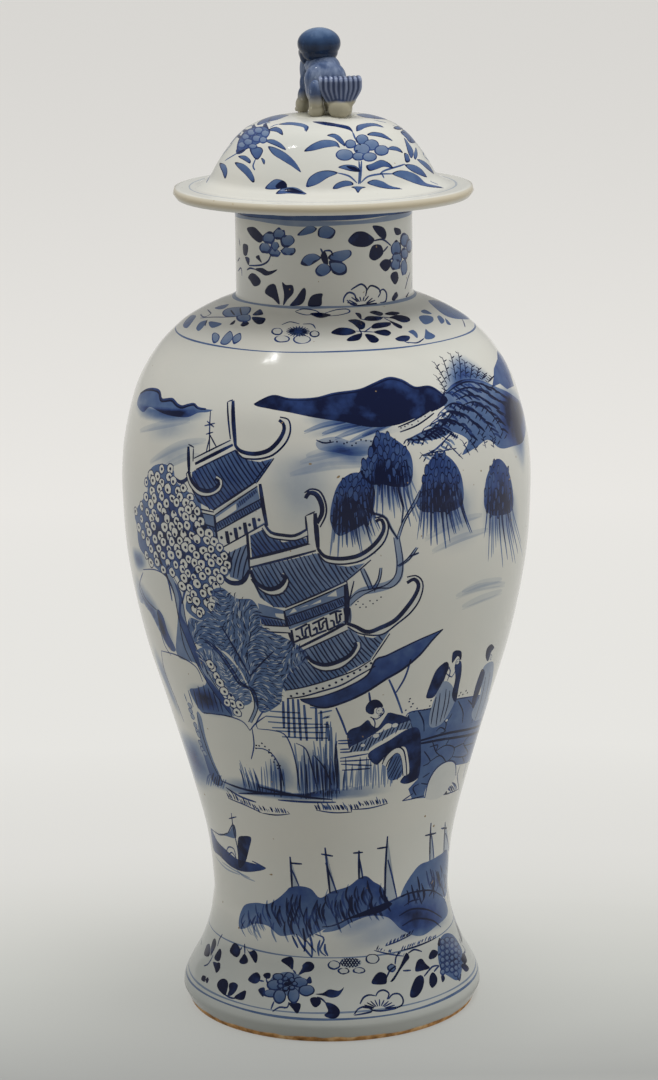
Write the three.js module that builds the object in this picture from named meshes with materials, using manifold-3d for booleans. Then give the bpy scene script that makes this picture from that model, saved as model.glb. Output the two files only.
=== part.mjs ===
import * as THREE from 'three';
import { mergeVertices } from 'three/addons/utils/BufferGeometryUtils.js';
import Module from 'manifold-3d';

// A porcelain baluster vase with its cover. Millimetres, +Z up, origin on the floor, mid-foot.
// The vase is thrown in sections and luted end to end with slip, and the cover carries a hand-built lion.

// Slip joint left between two pieces that are luted or stand on each other
const SLIP_GAP = 0.3;

// Vase
const VASE_HEIGHT = 350;
const WALL = 4.4;
const FOOT_RIM_RADIUS = 62;
const FOOT_RADIUS = 65;
const FOOT_EDGE_HEIGHT = 6.5;
const FOOT_RING_WIDTH = 6.5;
const FOOT_RECESS = 9;
const RECESS_TAPER = 2.5;
const FLOOR_THICKNESS = 6;
const FLOOR_COVE = 5;
const WAIST_RADIUS = 50.9;
const WAIST_HEIGHT = 53;
const BELLY_RADIUS = 86.5;
const BELLY_HEIGHT = 226;
const BODY_JOINT_HEIGHT = 150;
const NECK_RADIUS = 37;
const NECK_LENGTH = 40;
const NECK_JOINT_DROP = 0.6;
const RIM_CHAMFER = 0.8;

// Cover
const FLANGE_RADIUS = 62.6;
const FLANGE_THICKNESS = 4.6;
const FLANGE_ROUND = 1.4;
const DOME_RADIUS = 48;
const DOME_RISE = 33.6;
const DOME_FLAT_RADIUS = 13;
const DOME_WALL = 5;
const SLEEVE_CLEARANCE = 0.8;
const SLEEVE_WALL = 3.4;
const SLEEVE_DEPTH = 16;
const SLEEVE_TAPER = 0.7;

// Lion on the cover, in its own frame: it looks along +Y and stands on z = 0
const LION_TURN_DEGREES = 30;
const LION_SHIFT_X = -0.6;
const LION_HEIGHT = 34.7;
const PLINTH_WIDTH = 22;
const PLINTH_LENGTH = 25;
const PLINTH_THICKNESS = 0.8;
const MANE_WIDTH = 18.6;
const MANE_LENGTH = 17;
const MANE_HEIGHT = 14.4;
const MANE_FORWARD = 3.2;
const FACE_WIDTH = 16.4;
const FACE_LENGTH = 13;
const FACE_HEIGHT = 12.4;
const FACE_FORWARD = 8;
const FACE_CENTRE_HEIGHT = 23.6;
const MUZZLE_WIDTH = 8.6;
const MUZZLE_HEIGHT = 6;
const CHEST_WIDTH = 14;
const CHEST_LEAN = 3.2;
const CHEST_TOP = 23;
const HAUNCH_WIDTH = 16.4;
const HAUNCH_LENGTH = 15;
const HAUNCH_BACK = 4.2;
const HAUNCH_HEIGHT = 8.6;
const LEG_WIDTH = 5;
const LEG_SPREAD = 5.6;
const FORELEG_FORWARD = 8.4;
const FORELEG_HEIGHT = 17.5;
const FORELEG_SLOPE = 1.8;
const HINDLEG_BACK = 6.4;
const HINDLEG_HEIGHT = 14;
const HINDLEG_SLOPE = 0.8;
const PAW_LENGTH = 6.4;
const PAW_HEIGHT = 3.4;
const TAIL_WIDTH = 19.4;
const TAIL_THICKNESS = 6.4;
const TAIL_HEIGHT = 18;
const TAIL_BACK = 12.6;
const TAIL_SIDE = 1.2;
const TAIL_TURN_DEGREES = -14;
const TAIL_RIB_PITCH = 2.2;
const TAIL_RIB_DEPTH = 0.9;

// How finely round surfaces are cut
const AROUND = 40;
const BALL_AROUND = 14;
const BALL_DOWN = 9;
const LEG_AROUND = 10;
const FOOT_STEPS = 7;
const BODY_STEPS = 14;
const SHOULDER_STEPS = 10;
const POINTS_PER_RIB = 4;
const MERGE_TOLERANCE = 1e-4;

// The foot's edge is halfway out at this share of its height
const FOOT_EDGE_SHARE = 1 / 3;

// Each stretch of the vase's outline, as shares of its rise and of its change of radius
const FOOT_SHARES = [
  [0, 0], [0.08, 0.06], [0.19, 0.23], [0.32, 0.47], [0.47, 0.69], [0.65, 0.87], [0.82, 0.96], [1, 1],
];
const BODY_SHARES = [[0, 0], [0.13, 0.066], [0.28, 0.243], [0.47, 0.51], [0.65, 0.77], [0.84, 0.948], [1, 1]];
const SHOULDER_SHARES = [
  [0, 0], [0.19, 0.009], [0.32, 0.04], [0.44, 0.087], [0.55, 0.145], [0.65, 0.23], [0.74, 0.335],
  [0.8, 0.43], [0.86, 0.545], [0.91, 0.685], [0.95, 0.825], [0.975, 0.93], [1, 1],
];

// The cover's upper face from the dome's foot to its flat top, as shares of the dome's rise above the
// flange and of the way in from the dome's radius to the flat
const DOME_SHARES = [
  [0.07, -0.06], [0.135, 0.02], [0.3, 0.1], [0.45, 0.18], [0.595, 0.27], [0.73, 0.37], [0.865, 0.52],
  [0.965, 0.75], [1, 1],
];

// Tail fan: shares of its width and thickness at each share of its height
const TAIL_SHARES = [
  [0, 0.44, 0.9], [0.2, 0.52, 0.9], [0.42, 0.78, 1], [0.65, 0.98, 1], [0.85, 1, 0.95], [1, 0.82, 0.5],
];
const TAIL_CROWN_SHARE = 0.8;

// A leg's width is full up to its knee and narrows to its top
const LEG_KNEE_SHARE = 0.6;
const LEG_TOP_SHARE = 0.8;

// A paw's middle stands this share of its length before its leg, and the muzzle's middle this share of its
// height under the face's
const PAW_FORWARD_SHARE = 0.2;
const MUZZLE_DROP_SHARE = 1 / 3;

const wasm = await Module();
wasm.setup();

const glazedPorcelain = new THREE.MeshStandardMaterial({ color: 0xdfe2e0, roughness: 0.12, metalness: 0 });
const barePorcelain = new THREE.MeshStandardMaterial({ color: 0xcfc4b0, roughness: 0.6, metalness: 0 });
const blueGlaze = new THREE.MeshStandardMaterial({ color: 0x4a6594, roughness: 0.15, metalness: 0 });
const paleGlaze = new THREE.MeshStandardMaterial({ color: 0xc9c8bd, roughness: 0.2, metalness: 0 });

// Drops the shading data and welds the corners, so that the surface is one closed skin
function welded(geometry) {
  const bare = geometry.clone();
  bare.deleteAttribute('normal');
  bare.deleteAttribute('uv');
  const merged = mergeVertices(bare, MERGE_TOLERANCE);
  const index = merged.index.array;
  const kept = [];
  for (let i = 0; i < index.length; i += 3) {
    const [a, b, c] = [index[i], index[i + 1], index[i + 2]];
    if (a !== b && b !== c && c !== a) kept.push(a, b, c);
  }
  merged.setIndex(kept);
  return merged;
}

function toManifold(geometry) {
  const skin = welded(geometry);
  return new wasm.Manifold(new wasm.Mesh({
    numProp: 3,
    vertProperties: new Float32Array(skin.attributes.position.array),
    triVerts: new Uint32Array(skin.index.array),
  }));
}

function fromManifold(manifold) {
  const mesh = manifold.getMesh();
  const geometry = new THREE.BufferGeometry();
  const corners = new THREE.BufferAttribute(new Float32Array(mesh.vertProperties), mesh.numProp);
  geometry.setAttribute('position', corners);
  geometry.setIndex(new THREE.BufferAttribute(new Uint32Array(mesh.triVerts), 1));
  return geometry;
}

function joined(geometries) {
  return fromManifold(geometries.map(toManifold).reduce((whole, next) => whole.add(next)));
}

function cutBy(geometry, tools) {
  const rest = tools.reduce((left, tool) => left.subtract(toManifold(tool)), toManifold(geometry));
  return fromManifold(rest);
}

function piece(name, geometry, material) {
  const skin = welded(geometry);
  skin.computeVertexNormals();
  const mesh = new THREE.Mesh(skin, material);
  mesh.name = name;
  return mesh;
}

// Turns an outline of [radius, height] points about the Z axis. It runs up the outside and down the inside.
function turned(outline, around = AROUND) {
  const points = outline.map(([radius, height]) => new THREE.Vector2(radius, height));
  return new THREE.LatheGeometry(points, around).rotateX(Math.PI / 2);
}

function turnedRing(outline) {
  return turned([...outline, outline[0]]);
}

// A smooth curve through one stretch of outline, given by its shares between two [radius, height] ends
function stretch(from, to, shares, steps) {
  const [lowRadius, lowHeight] = from;
  const [highRadius, highHeight] = to;
  const knots = shares.map(([rise, change]) => new THREE.Vector2(
    lowRadius + (highRadius - lowRadius) * change,
    lowHeight + (highHeight - lowHeight) * rise,
  ));
  return new THREE.SplineCurve(knots).getPoints(steps).map((p) => [p.x, p.y]);
}

// The same outline moved inwards, square to itself, by a wall's thickness
function inset(outline, thickness) {
  return outline.map(([radius, height], i) => {
    const before = outline[Math.max(i - 1, 0)];
    const after = outline[Math.min(i + 1, outline.length - 1)];
    const along = new THREE.Vector2(after[0] - before[0], after[1] - before[1]).normalize();
    return [radius - along.y * thickness, height + along.x * thickness];
  });
}

function radiusAt(outline, height) {
  const i = outline.findIndex((point, k) => k > 0 && point[1] >= height);
  const high = i < 0 ? outline.length - 1 : i;
  const [a, b] = [outline[high - 1], outline[high]];
  return a[0] + (b[0] - a[0]) * (height - a[1]) / (b[1] - a[1]);
}

// The part of an outline between two heights, with its ends cut level
function between(outline, low, high) {
  const inside = outline.filter(([, height]) => height > low + SLIP_GAP && height < high - SLIP_GAP);
  return [[radiusAt(outline, low), low], ...inside, [radiusAt(outline, high), high]];
}

const neckBaseHeight = VASE_HEIGHT - NECK_LENGTH;
const FOOT_POINT = [FOOT_RADIUS, FOOT_EDGE_HEIGHT];
const WAIST_POINT = [WAIST_RADIUS, WAIST_HEIGHT];
const BELLY_POINT = [BELLY_RADIUS, BELLY_HEIGHT];
const NECK_POINT = [NECK_RADIUS, neckBaseHeight];

const vaseOutside = [
  ...stretch(FOOT_POINT, WAIST_POINT, FOOT_SHARES, FOOT_STEPS),
  ...stretch(WAIST_POINT, BELLY_POINT, BODY_SHARES, BODY_STEPS).slice(1),
  ...stretch(BELLY_POINT, NECK_POINT, SHOULDER_SHARES, SHOULDER_STEPS).slice(1),
  [NECK_RADIUS, VASE_HEIGHT],
];
const vaseInside = inset(vaseOutside, WALL).filter((point, i, all) => i === 0 || point[1] > all[i - 1][1]);
const neckBore = NECK_RADIUS - WALL;
const neckJointHeight = neckBaseHeight - NECK_JOINT_DROP;

// A hollow section of the vase between two slip joints
function bodySection(low, high) {
  const wide = ([radius, height]) => [Math.max(radius, neckBore), height];
  const inside = between(vaseInside, low, high).map(wide).reverse();
  return turnedRing([...between(vaseOutside, low, high), ...inside]);
}

// Flared foot with its ring, the hollow under it and the vase's floor
function footSection() {
  const ringInside = FOOT_RIM_RADIUS - FOOT_RING_WIDTH;
  const floorTop = FOOT_RECESS + FLOOR_THICKNESS;
  const outside = between(vaseOutside, FOOT_EDGE_HEIGHT, WAIST_HEIGHT - SLIP_GAP);
  const inside = between(vaseInside, floorTop + FLOOR_COVE, WAIST_HEIGHT - SLIP_GAP).reverse();
  const coveRadius = inside[inside.length - 1][0];
  return turned([
    [0, FOOT_RECESS],
    [ringInside - RECESS_TAPER, FOOT_RECESS],
    [ringInside, 0],
    [FOOT_RIM_RADIUS, 0],
    [(FOOT_RIM_RADIUS + FOOT_RADIUS) / 2, FOOT_EDGE_HEIGHT * FOOT_EDGE_SHARE],
    ...outside,
    ...inside,
    [coveRadius - FLOOR_COVE, floorTop],
    [0, floorTop],
  ]);
}

function neckSection() {
  return turnedRing([
    [NECK_RADIUS, neckJointHeight + SLIP_GAP],
    [NECK_RADIUS, VASE_HEIGHT - RIM_CHAMFER],
    [NECK_RADIUS - RIM_CHAMFER, VASE_HEIGHT],
    [neckBore + RIM_CHAMFER, VASE_HEIGHT],
    [neckBore, VASE_HEIGHT - RIM_CHAMFER],
    [neckBore, neckJointHeight + SLIP_GAP],
  ]);
}

const seatHeight = VASE_HEIGHT + SLIP_GAP;
const domeTop = seatHeight + DOME_RISE;
const sleeveOutside = neckBore - SLEEVE_CLEARANCE;
const sleeveInside = sleeveOutside - SLEEVE_WALL;

// Dome and wide flange in one thrown piece, open below inside the sleeve
function coverDome() {
  const flangeTop = seatHeight + FLANGE_THICKNESS;
  const rise = DOME_RISE - FLANGE_THICKNESS;
  const dome = DOME_SHARES.map(([up, inwards]) => [
    DOME_RADIUS - (DOME_RADIUS - DOME_FLAT_RADIUS) * inwards,
    flangeTop + rise * up,
  ]);
  const hollow = inset(dome.slice(1), DOME_WALL).reverse();
  return turned([
    [0, domeTop - DOME_WALL],
    ...hollow.slice(1),
    [sleeveInside, flangeTop],
    [sleeveInside, seatHeight],
    [FLANGE_RADIUS - FLANGE_ROUND, seatHeight],
    [FLANGE_RADIUS, seatHeight + FLANGE_ROUND],
    [FLANGE_RADIUS, flangeTop - FLANGE_ROUND],
    [FLANGE_RADIUS - FLANGE_ROUND, flangeTop],
    ...dome,
    [0, domeTop],
  ]);
}

// Collar under the cover that drops into the neck
function coverSleeve() {
  const top = seatHeight - SLIP_GAP;
  const bottom = top - SLEEVE_DEPTH;
  return turnedRing([
    [sleeveOutside - SLEEVE_TAPER, bottom],
    [sleeveOutside, bottom + SLEEVE_DEPTH / 2],
    [sleeveOutside, top],
    [sleeveInside, top],
    [sleeveInside, bottom],
  ]);
}

function ball(width, length, height, x, y, z, grow = 0) {
  return new THREE.SphereGeometry(1, BALL_AROUND, BALL_DOWN)
    .rotateX(Math.PI / 2)
    .scale(width / 2 + grow, length / 2 + grow, height / 2 + grow)
    .translate(x, y, z);
}

// Everything under the lion's standing plane
function ground() {
  return new THREE.BoxGeometry(PLINTH_WIDTH * 2, PLINTH_LENGTH * 2, LION_HEIGHT)
    .translate(0, 0, -LION_HEIGHT / 2);
}

function plinth() {
  return new THREE.CylinderGeometry(1, 1, PLINTH_THICKNESS, BALL_AROUND * 2)
    .rotateX(Math.PI / 2)
    .scale(PLINTH_WIDTH / 2, PLINTH_LENGTH / 2, 1)
    .translate(0, 0, -SLIP_GAP - PLINTH_THICKNESS / 2);
}

// Chest and haunches, one body that leans forward
function torso(grow = 0) {
  const chestHeight = CHEST_TOP - HAUNCH_HEIGHT / 2;
  const chestCentre = CHEST_TOP - chestHeight / 2;
  const chest = ball(CHEST_WIDTH, CHEST_WIDTH, chestHeight, 0, CHEST_LEAN, chestCentre, grow);
  const haunch = ball(HAUNCH_WIDTH, HAUNCH_LENGTH, HAUNCH_HEIGHT * 2, 0, -HAUNCH_BACK, HAUNCH_HEIGHT, grow);
  return joined([chest, haunch]);
}

function mane(grow = 0) {
  return ball(MANE_WIDTH, MANE_LENGTH, MANE_HEIGHT, 0, MANE_FORWARD, LION_HEIGHT - MANE_HEIGHT / 2, grow);
}

function face() {
  const skull = ball(FACE_WIDTH, FACE_LENGTH, FACE_HEIGHT, 0, FACE_FORWARD, FACE_CENTRE_HEIGHT);
  const muzzleForward = FACE_FORWARD + (FACE_LENGTH - MUZZLE_HEIGHT) / 2;
  const muzzleCentre = FACE_CENTRE_HEIGHT - MUZZLE_HEIGHT * MUZZLE_DROP_SHARE;
  const muzzle = ball(MUZZLE_WIDTH, MUZZLE_WIDTH, MUZZLE_HEIGHT, 0, muzzleForward, muzzleCentre);
  return joined([skull, muzzle]);
}

// A straight leg that thickens towards its top, ending below in a paw that points forward
function leg(x, y, height, slope, grow = 0) {
  const radius = LEG_WIDTH / 2 + grow;
  const knee = height * LEG_KNEE_SHARE;
  const top = radius * LEG_TOP_SHARE;
  const outline = [[0, -grow], [radius, -grow], [radius, knee], [top, height], [0, height + grow]];
  const column = turned(outline, LEG_AROUND);
  const shear = new THREE.Matrix4().makeShear(0, 0, 0, 0, 0, -slope / height);
  column.applyMatrix4(shear).translate(x, y, 0);
  const pawForward = y + PAW_LENGTH * PAW_FORWARD_SHARE;
  const paw = ball(LEG_WIDTH, PAW_LENGTH, PAW_HEIGHT, x, pawForward, PAW_HEIGHT / 2 - SLIP_GAP, grow);
  return joined([column, paw]);
}

function foreleg(side, grow = 0) {
  return leg(side * LEG_SPREAD, FORELEG_FORWARD, FORELEG_HEIGHT, FORELEG_SLOPE, grow);
}

function hindleg(side, grow = 0) {
  return leg(side * LEG_SPREAD, -HINDLEG_BACK, HINDLEG_HEIGHT, HINDLEG_SLOPE, grow);
}

// Upright fan with combed ribs on its back, narrow where it stands on the plinth
function tail() {
  const ribs = Math.floor(TAIL_WIDTH / TAIL_RIB_PITCH);
  const steps = ribs * POINTS_PER_RIB;
  const half = TAIL_THICKNESS / 2;
  const back = [];
  for (let i = 0; i <= steps; i += 1) {
    const across = (i / steps) * 2 - 1;
    const groove = (1 + Math.cos((i / POINTS_PER_RIB) * Math.PI * 2)) / 2;
    const crown = Math.sqrt(1 - across * across * TAIL_CROWN_SHARE);
    back.push([across * TAIL_WIDTH / 2, TAIL_RIB_DEPTH * groove - half * crown]);
  }
  const front = back.map(([x]) => [x, half]).reverse();
  const ring = [...back, ...front];
  const positions = TAIL_SHARES.flatMap(([up, width, depth]) => (
    ring.flatMap(([x, y]) => [x * width, y * depth, up * TAIL_HEIGHT])
  ));
  const index = [];
  for (let row = 0; row + 1 < TAIL_SHARES.length; row += 1) {
    for (let i = 0; i < ring.length; i += 1) {
      const a = row * ring.length + i;
      const b = row * ring.length + (i + 1) % ring.length;
      index.push(a, b, b + ring.length, a, b + ring.length, a + ring.length);
    }
  }
  const crest = (TAIL_SHARES.length - 1) * ring.length;
  for (let i = 0; i < steps; i += 1) {
    const across = ring.length - 1 - i;
    index.push(i + 1, i, across, i + 1, across, across - 1);
    index.push(crest + i, crest + i + 1, crest + across, crest + i + 1, crest + across - 1, crest + across);
  }
  const fan = new THREE.BufferGeometry();
  fan.setAttribute('position', new THREE.BufferAttribute(new Float32Array(positions), 3));
  fan.setIndex(index);
  return fan.rotateZ(THREE.MathUtils.degToRad(TAIL_TURN_DEGREES)).translate(TAIL_SIDE, -TAIL_BACK, 0);
}

function lion() {
  const group = new THREE.Group();
  const grownTorso = torso(SLIP_GAP);
  const grownMane = mane(SLIP_GAP);
  const floor = ground();
  group.add(piece('finial_plinth', plinth(), paleGlaze));
  group.add(piece('lion_torso', cutBy(torso(), [floor]), blueGlaze));
  group.add(piece('lion_mane', cutBy(mane(), [grownTorso]), blueGlaze));
  group.add(piece('lion_face', cutBy(face(), [grownTorso, grownMane]), blueGlaze));
  const sides = [['left', -1], ['right', 1]];
  for (const [word, side] of sides) {
    group.add(piece(`lion_foreleg_${word}`, cutBy(foreleg(side), [grownTorso, floor]), paleGlaze));
    group.add(piece(`lion_hindleg_${word}`, cutBy(hindleg(side), [grownTorso, floor]), paleGlaze));
  }
  const grownHindlegs = sides.map(([, side]) => hindleg(side, SLIP_GAP));
  group.add(piece('lion_tail', cutBy(tail(), [grownTorso, ...grownHindlegs]), blueGlaze));
  group.rotation.z = THREE.MathUtils.degToRad(LION_TURN_DEGREES);
  group.position.set(LION_SHIFT_X, 0, domeTop + PLINTH_THICKNESS + SLIP_GAP * 2);
  return group;
}

const urn = new THREE.Group();
urn.add(piece('foot_section', footSection(), glazedPorcelain));
urn.add(piece('lower_body', bodySection(WAIST_HEIGHT, BODY_JOINT_HEIGHT - SLIP_GAP), glazedPorcelain));
urn.add(piece('upper_body', bodySection(BODY_JOINT_HEIGHT, neckJointHeight), glazedPorcelain));
urn.add(piece('neck', neckSection(), glazedPorcelain));
urn.add(piece('cover_dome', coverDome(), glazedPorcelain));
urn.add(piece('cover_sleeve', coverSleeve(), barePorcelain));
urn.add(lion());

export default urn;
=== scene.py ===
import math
import random

import bmesh
import bpy
import numpy as np
from mathutils import Matrix, Vector
from mathutils.geometry import delaunay_2d_cdt


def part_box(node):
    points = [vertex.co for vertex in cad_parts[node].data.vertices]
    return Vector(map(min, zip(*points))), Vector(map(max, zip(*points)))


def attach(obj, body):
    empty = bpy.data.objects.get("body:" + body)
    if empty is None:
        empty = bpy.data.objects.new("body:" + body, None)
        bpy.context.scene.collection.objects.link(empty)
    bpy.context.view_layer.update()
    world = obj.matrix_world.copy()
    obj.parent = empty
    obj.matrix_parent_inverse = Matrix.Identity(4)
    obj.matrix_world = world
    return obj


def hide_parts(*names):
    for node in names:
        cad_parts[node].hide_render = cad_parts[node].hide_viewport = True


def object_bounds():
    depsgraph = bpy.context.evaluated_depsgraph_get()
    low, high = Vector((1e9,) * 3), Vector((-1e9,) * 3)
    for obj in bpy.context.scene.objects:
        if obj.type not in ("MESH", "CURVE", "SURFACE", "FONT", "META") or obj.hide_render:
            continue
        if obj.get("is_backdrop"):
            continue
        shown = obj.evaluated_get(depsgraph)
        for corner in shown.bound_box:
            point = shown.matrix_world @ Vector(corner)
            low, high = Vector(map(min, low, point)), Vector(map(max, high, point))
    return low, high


bl_info = {
    "name": "Painted Porcelain Vase and Cover",
    "version": (1, 0, 0),
    "blender": (4, 5, 0),
    "location": "3D View > Sidebar > Porcelain",
    "description": "Throws, glazes and paints a blue-and-white vase with its cover and lion",
    "category": "Add Mesh",
}

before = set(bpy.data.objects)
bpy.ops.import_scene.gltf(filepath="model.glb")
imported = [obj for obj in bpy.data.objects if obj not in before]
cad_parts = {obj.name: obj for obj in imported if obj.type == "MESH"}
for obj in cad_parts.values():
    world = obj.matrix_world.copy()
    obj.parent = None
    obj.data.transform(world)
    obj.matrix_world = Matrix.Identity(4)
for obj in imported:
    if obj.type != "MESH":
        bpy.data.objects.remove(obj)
CAD_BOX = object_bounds()

MM = 0.001
FULL_TURN = 2 * math.pi

# The photograph's frame and the camera that took it, in millimetres, degrees and pixels
IMAGE_WIDTH = 658
IMAGE_HEIGHT = 1080
SENSOR_MM = 36
CAMERA_PLACE = (0.77, -1427.8, 539.4)
CAMERA_DOWN = 13.26
CAMERA_ROLL = -0.63
CAMERA_FOCAL_PIXELS = 3442.0


# Sizes that the frame gives


def half_width(node):
    low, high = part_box(node)
    return (high.x - low.x) / 2 / MM


def top_of(node):
    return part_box(node)[1].z / MM


def bottom_of(node):
    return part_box(node)[0].z / MM


FOOT_RADIUS = half_width("foot_section")
WAIST_HEIGHT = round(top_of("foot_section"))
BODY_JOINT = round(top_of("lower_body"))
BELLY_RADIUS = half_width("upper_body")
NECK_RADIUS = half_width("neck")
NECK_BASE = round(bottom_of("neck"))
NECK_JOINT = top_of("upper_body")
VASE_HEIGHT = top_of("neck")
FLANGE_RADIUS = half_width("cover_dome")
FLANGE_SEAT = bottom_of("cover_dome")
DOME_TOP = top_of("cover_dome")
SLEEVE_RADIUS = half_width("cover_sleeve")
SLEEVE_BOTTOM = bottom_of("cover_sleeve")

# Sizes inside the boxes, as the potter made them
WALL = 4.4
WAIST_RADIUS = 50.9
BELLY_HEIGHT = 226.0
FOOT_RIM_RADIUS = FOOT_RADIUS - 3
FOOT_EDGE = 6.5
FOOT_RING = 6.5
FOOT_RECESS = 9.0
RECESS_TAPER = 2.5
FLOOR_TOP = 15.0
FLOOR_COVE = 5.0
FLANGE_THICKNESS = 4.6
FLANGE_ROUND = 1.6
DOME_RADIUS = 48.0
DOME_FLAT = 13.0
DOME_WALL = 5.0
SLEEVE_WALL = 3.4
LIP_ROUND = 1.2
POLE_RADIUS = 5.0

# Chart points nearer than this are the same point
CHART_CLOSE = 2e-6

# Gap between the points of the unpainted collar, as a share of its radius
COLLAR_SPACING = 0.06

# Each stretch of the outline, as shares of its rise and of its change of radius
FOOT_SHARES = (
    (0, 0), (0.08, 0.06), (0.19, 0.23), (0.32, 0.47), (0.47, 0.69), (0.65, 0.87), (0.82, 0.96), (1, 1),
)
BODY_SHARES = ((0, 0), (0.13, 0.066), (0.28, 0.243), (0.47, 0.51), (0.65, 0.77), (0.84, 0.948), (1, 1))
SHOULDER_SHARES = (
    (0, 0), (0.19, 0.009), (0.32, 0.04), (0.44, 0.087), (0.55, 0.145), (0.65, 0.23), (0.74, 0.335),
    (0.8, 0.43), (0.86, 0.545), (0.91, 0.685), (0.95, 0.825), (0.975, 0.93), (1, 1),
)
DOME_SHARES = (
    (0.07, -0.06), (0.135, 0.02), (0.3, 0.1), (0.45, 0.18), (0.595, 0.27), (0.73, 0.37), (0.865, 0.52),
    (0.965, 0.75), (1, 1),
)


# Materials


def linear(code):
    """One sRGB hex colour as linear red, green, blue and alpha. Other colours are linear already."""
    if not isinstance(code, str):
        return code
    parts = [int(code[i:i + 2], 16) / 255 for i in (1, 3, 5)]
    return [c / 12.92 if c <= 0.04045 else ((c + 0.055) / 1.055) ** 2.4 for c in parts] + [1.0]


def add(tree, kind, inputs=None, output=0, stops=None, **settings):
    """Adds a node with its settings. Each input is a number, a hex colour or another node's output."""
    node = tree.nodes.new(kind)
    for name, value in settings.items():
        setattr(node, name, value)
    for name, value in (inputs or {}).items():
        if isinstance(value, bpy.types.NodeSocket):
            tree.links.new(value, node.inputs[name])
        else:
            node.inputs[name].default_value = linear(value) if isinstance(value, str) else value
    for place, code in stops or ():
        element = node.color_ramp.elements.new(place)
        element.color = linear(code)
    if stops:
        node.color_ramp.elements.remove(node.color_ramp.elements[0])
        node.color_ramp.elements.remove(node.color_ramp.elements[-1])
    return node.outputs[output]


def per_metre(size_mm):
    """A pattern's scale for features that measure size_mm."""
    return 1 / (size_mm * MM)


def new_material(name):
    """A material, its node tree, its shader and the place on the object in metres."""
    material = bpy.data.materials.new(name)
    material.use_nodes = True
    tree = material.node_tree
    place = add(tree, "ShaderNodeTexCoord", output="Object")
    return material, tree, tree.nodes["Principled BSDF"], place


# How strongly the glazes mirror. The room behind the camera is dim, so it is less than clear glass does.
GLAZE_MIRROR = 0.2
GLAZE_IOR = 1.5

# Heights in mm between which the wiped foot passes into glaze, and the painted shade under the belly, darker
# towards the foot and a little bluer where glaze gathers, fades out
WIPED_HEIGHTS = (3.1, 3.6)
FOOT_SHADE_AND_POOL_HEIGHTS = (30, 46)


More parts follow.
